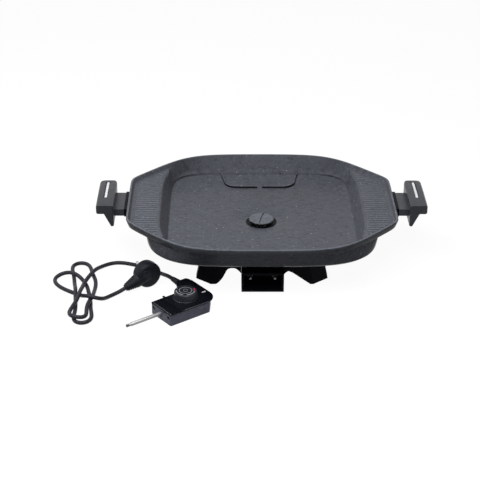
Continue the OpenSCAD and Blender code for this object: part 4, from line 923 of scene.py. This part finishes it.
def make_dial_marks():
    low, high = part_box("dial_plate")
    centre = Vector(((low.x + high.x) / 2, (low.y + high.y) / 2, high.z))
    for look, strips in DIAL_MARKS.items():
        shape = Shape()
        for strip in strips:
            arc_strip(shape, centre, *strip)
        add_mesh("dial_" + look, shape.points, shape.faces, "dial_metal", "dial", look=look)


def add_grip_rib(shape, at, out):
    """An upright rib on the shell, at a place on its outline that faces that way."""
    along = (-out[1], out[0])
    rings = []
    for z, k in GRIP_ENDS:
        ring = []
        for a, b in GRIP_SECTION:
            r = raised(b, k)
            ring.append(on_control(at[0] + out[0] * r + along[0] * a, at[1] + out[1] * r + along[1] * a, z))
        rings.append(ring)
    shape.loft(rings, ends=True)


def make_grip_ribs():
    shape = Shape()
    for i in range(GRIP_SIDE_COUNT):
        add_grip_rib(shape, (CORNER_FROM[0] + GRIP_SIDE_FROM + GRIP_PITCH * i, CORNER_FROM[1]), (0, -1))
    ahead = (Vector(CORNER_TO) - Vector(CORNER_FROM)).normalized()
    for i in range(GRIP_CORNER_COUNT):
        at = Vector(CORNER_FROM) + ahead * (GRIP_CORNER_FROM + GRIP_PITCH * i)
        add_grip_rib(shape, at, (ahead.y, -ahead.x))
    add_mesh("control_grip_ribs", shape.points, shape.faces, "control_grey", "control_set")


def make_collar():
    low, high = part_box("knob")
    centre = Vector(((low.x + high.x) / 2, (low.y + high.y) / 2, CONTROL_TOP * MM))
    rings = []
    for r, z in COLLAR_RINGS:
        rings.append([
            centre + Vector((r * math.cos(t), r * math.sin(t), z)) * MM
            for t in turns(COLLAR_STEPS)
        ])
    shape = Shape()
    shape.loft(rings, loop=True)
    add_mesh("dial_collar", shape.points, shape.faces, "control_black", "control_set", look="knob_plastic")


def add_bead(shape, start, end):
    """A low bead on the cover, straight from one place to another."""
    run = Vector(end) - Vector(start)
    ahead = run.normalized()
    rings = []
    for along, k in ((0, 0.0), (BEAD_END, 1.0), (run.length - BEAD_END, 1.0), (run.length, 0.0)):
        at = Vector(start) + ahead * along
        rings.append([
            on_control(at.x - ahead.y * a, at.y + ahead.x * a, CONTROL_TOP + raised(b, k))
            for a, b in BEAD_SECTION
        ])
    shape.loft(rings, ends=True)


def make_beads():
    """Beads across the cover in front of the dial, along its front edge and along its right edge, with a
    painted highlight for their look.
    """
    shape = Shape()
    add_bead(shape, (BEAD_X, -BEAD_SIDE), (BEAD_X, BEAD_SIDE))
    add_bead(shape, (BEAD_FRONT_X, -BEAD_SIDE), (BEAD_FRONT_X, BEAD_SIDE))
    add_bead(shape, (BEAD_X + BEAD_GAP, -BEAD_SIDE), (CORNER_FROM[0], -BEAD_SIDE))
    add_mesh("cover_beads", shape.points, shape.faces, "control_black", "control_set", look="painted_edge_highlight")


make_dial_marks()
make_grip_ribs()
make_collar()
make_beads()


# The part's own solids get their materials and soft edges

# How wide a node's soft edges are, in millimetres
EDGE = {
    "handle_left": 1.4, "handle_right": 1.4, "handle_guard_left": 0.6, "handle_guard_right": 0.6,
    "handle_trim_left": 0.3, "handle_trim_right": 0.3, "base_frame": 0.9, "inlet_shroud": 0.9,
    "drain_cap": 0.5, "heater_plate": 0.8, "probe_well": 0.6, "controller_base": 0.7,
    "controller_cover": 0.6, "thermostat_switch": 0.5, "knob": 0.35, "pilot_lens": 0.2, "cord_gland": 0.3,
    "plug_body": 0.8, "plug_strain_relief": 0.35,
}
EDGE_SEGMENTS = 3
WELD_GAP = 0.002 * MM
# Nodes whose look is not simply their slot's. The drain cap's look paints shade on its side.
LOOK = {"drain_cap": "cap_coating_shaded", "terminal_pins": "dull_pin"}


def dress_nodes():
    slots = {s["node"]: s["material_slot"] for s in frame["record"]["subparts"]}
    for name, node in nodes.items():
        node.data.materials.clear()
        node.data.materials.append(MATERIALS[LOOK.get(name, slots[name])])
        weld = node.modifiers.new("weld", "WELD")
        weld.merge_threshold = WELD_GAP
        if name in EDGE:
            bevel = node.modifiers.new("edges", "BEVEL")
            bevel.width = EDGE[name] * MM
            bevel.segments = EDGE_SEGMENTS
            bevel.limit_method = "ANGLE"
            bevel.angle_limit = math.radians(SHARP_ANGLE)
            bevel.use_clamp_overlap = True


dress_nodes()


# Stage: a white floor and soft light, in metres

TABLE_LOW = (-6, -6, -0.02)
TABLE_HIGH = (6, 6, -0.0002)
TABLE_WHITE = 0.95
TABLE_LIT = (0.1, 0.1, 0.1, 1)
# Each lamp's name, place, width and power
LAMPS = [
    ("left", (-0.9, 0.0, 1.6), 0.8, 12),
    ("corner", (-0.75, -0.7, 1.5), 0.8, 5.5),
    ("front", (0.0, -0.6, 1.0), 0.8, 7.5),
]
LAMP_AIM = (0, 0, 0.05)
# What the white world gives as light
SKY = 0.02


def seen_rays(tree):
    """1 for what the camera sees, straight or mirrored or through glass."""
    path = tree.nodes.new("ShaderNodeLightPath")
    seen = path.outputs["Is Camera Ray"]
    for kind in ("Is Glossy Ray", "Is Transmission Ray"):
        both = tree.nodes.new("ShaderNodeMath")
        both.operation = "MAXIMUM"
        tree.links.new(seen, both.inputs[0])
        tree.links.new(path.outputs[kind], both.inputs[1])
        seen = both.outputs[0]
    return seen


def make_floor():
    """White where it is seen, less the object's shadow, and dark as a source of light."""
    shape = Shape()
    shape.box(TABLE_LOW, TABLE_HIGH)
    mesh = bpy.data.meshes.new("floor")
    mesh.from_pydata([tuple(p) for p in shape.points], [], shape.faces)
    floor = bpy.data.objects.new("floor", mesh)
    bpy.context.scene.collection.objects.link(floor)
    material = bpy.data.materials.new("floor_white")
    material.use_nodes = True
    tree = material.node_tree
    tree.nodes.clear()
    white = tree.nodes.new("ShaderNodeEmission")
    white.inputs["Strength"].default_value = TABLE_WHITE
    lit = tree.nodes.new("ShaderNodeBsdfDiffuse")
    lit.inputs["Color"].default_value = TABLE_LIT
    both = tree.nodes.new("ShaderNodeAddShader")
    tree.links.new(white.outputs[0], both.inputs[0])
    tree.links.new(lit.outputs[0], both.inputs[1])
    mix = tree.nodes.new("ShaderNodeMixShader")
    tree.links.new(seen_rays(tree), mix.inputs["Fac"])
    tree.links.new(lit.outputs[0], mix.inputs[1])
    tree.links.new(both.outputs[0], mix.inputs[2])
    out = tree.nodes.new("ShaderNodeOutputMaterial")
    tree.links.new(mix.outputs[0], out.inputs["Surface"])
    mesh.materials.append(material)


def make_lamp(name, at, size, energy):
    data = bpy.data.lights.new(name, "AREA")
    data.shape = "DISK"
    data.size = size
    data.energy = energy
    lamp = bpy.data.objects.new(name, data)
    lamp.location = at
    lamp.rotation_mode = "QUATERNION"
    lamp.rotation_quaternion = (Vector(LAMP_AIM) - Vector(at)).to_track_quat("-Z", "Y")
    bpy.context.scene.collection.objects.link(lamp)


def make_light():
    for lamp in LAMPS:
        make_lamp(*lamp)
    world = bpy.data.worlds.new("studio")
    bpy.context.scene.world = world
    world.use_nodes = True
    tree = world.node_tree
    level = tree.nodes.new("ShaderNodeMapRange")
    level.inputs["To Min"].default_value = SKY
    tree.links.new(seen_rays(tree), level.inputs["Value"])
    tree.nodes["Background"].inputs["Color"].default_value = (1, 1, 1, 1)
    tree.links.new(level.outputs["Result"], tree.nodes["Background"].inputs["Strength"])


make_floor()
make_light()
bpy.context.scene.view_settings.view_transform = "Standard"

bpy.context.view_layer.update()
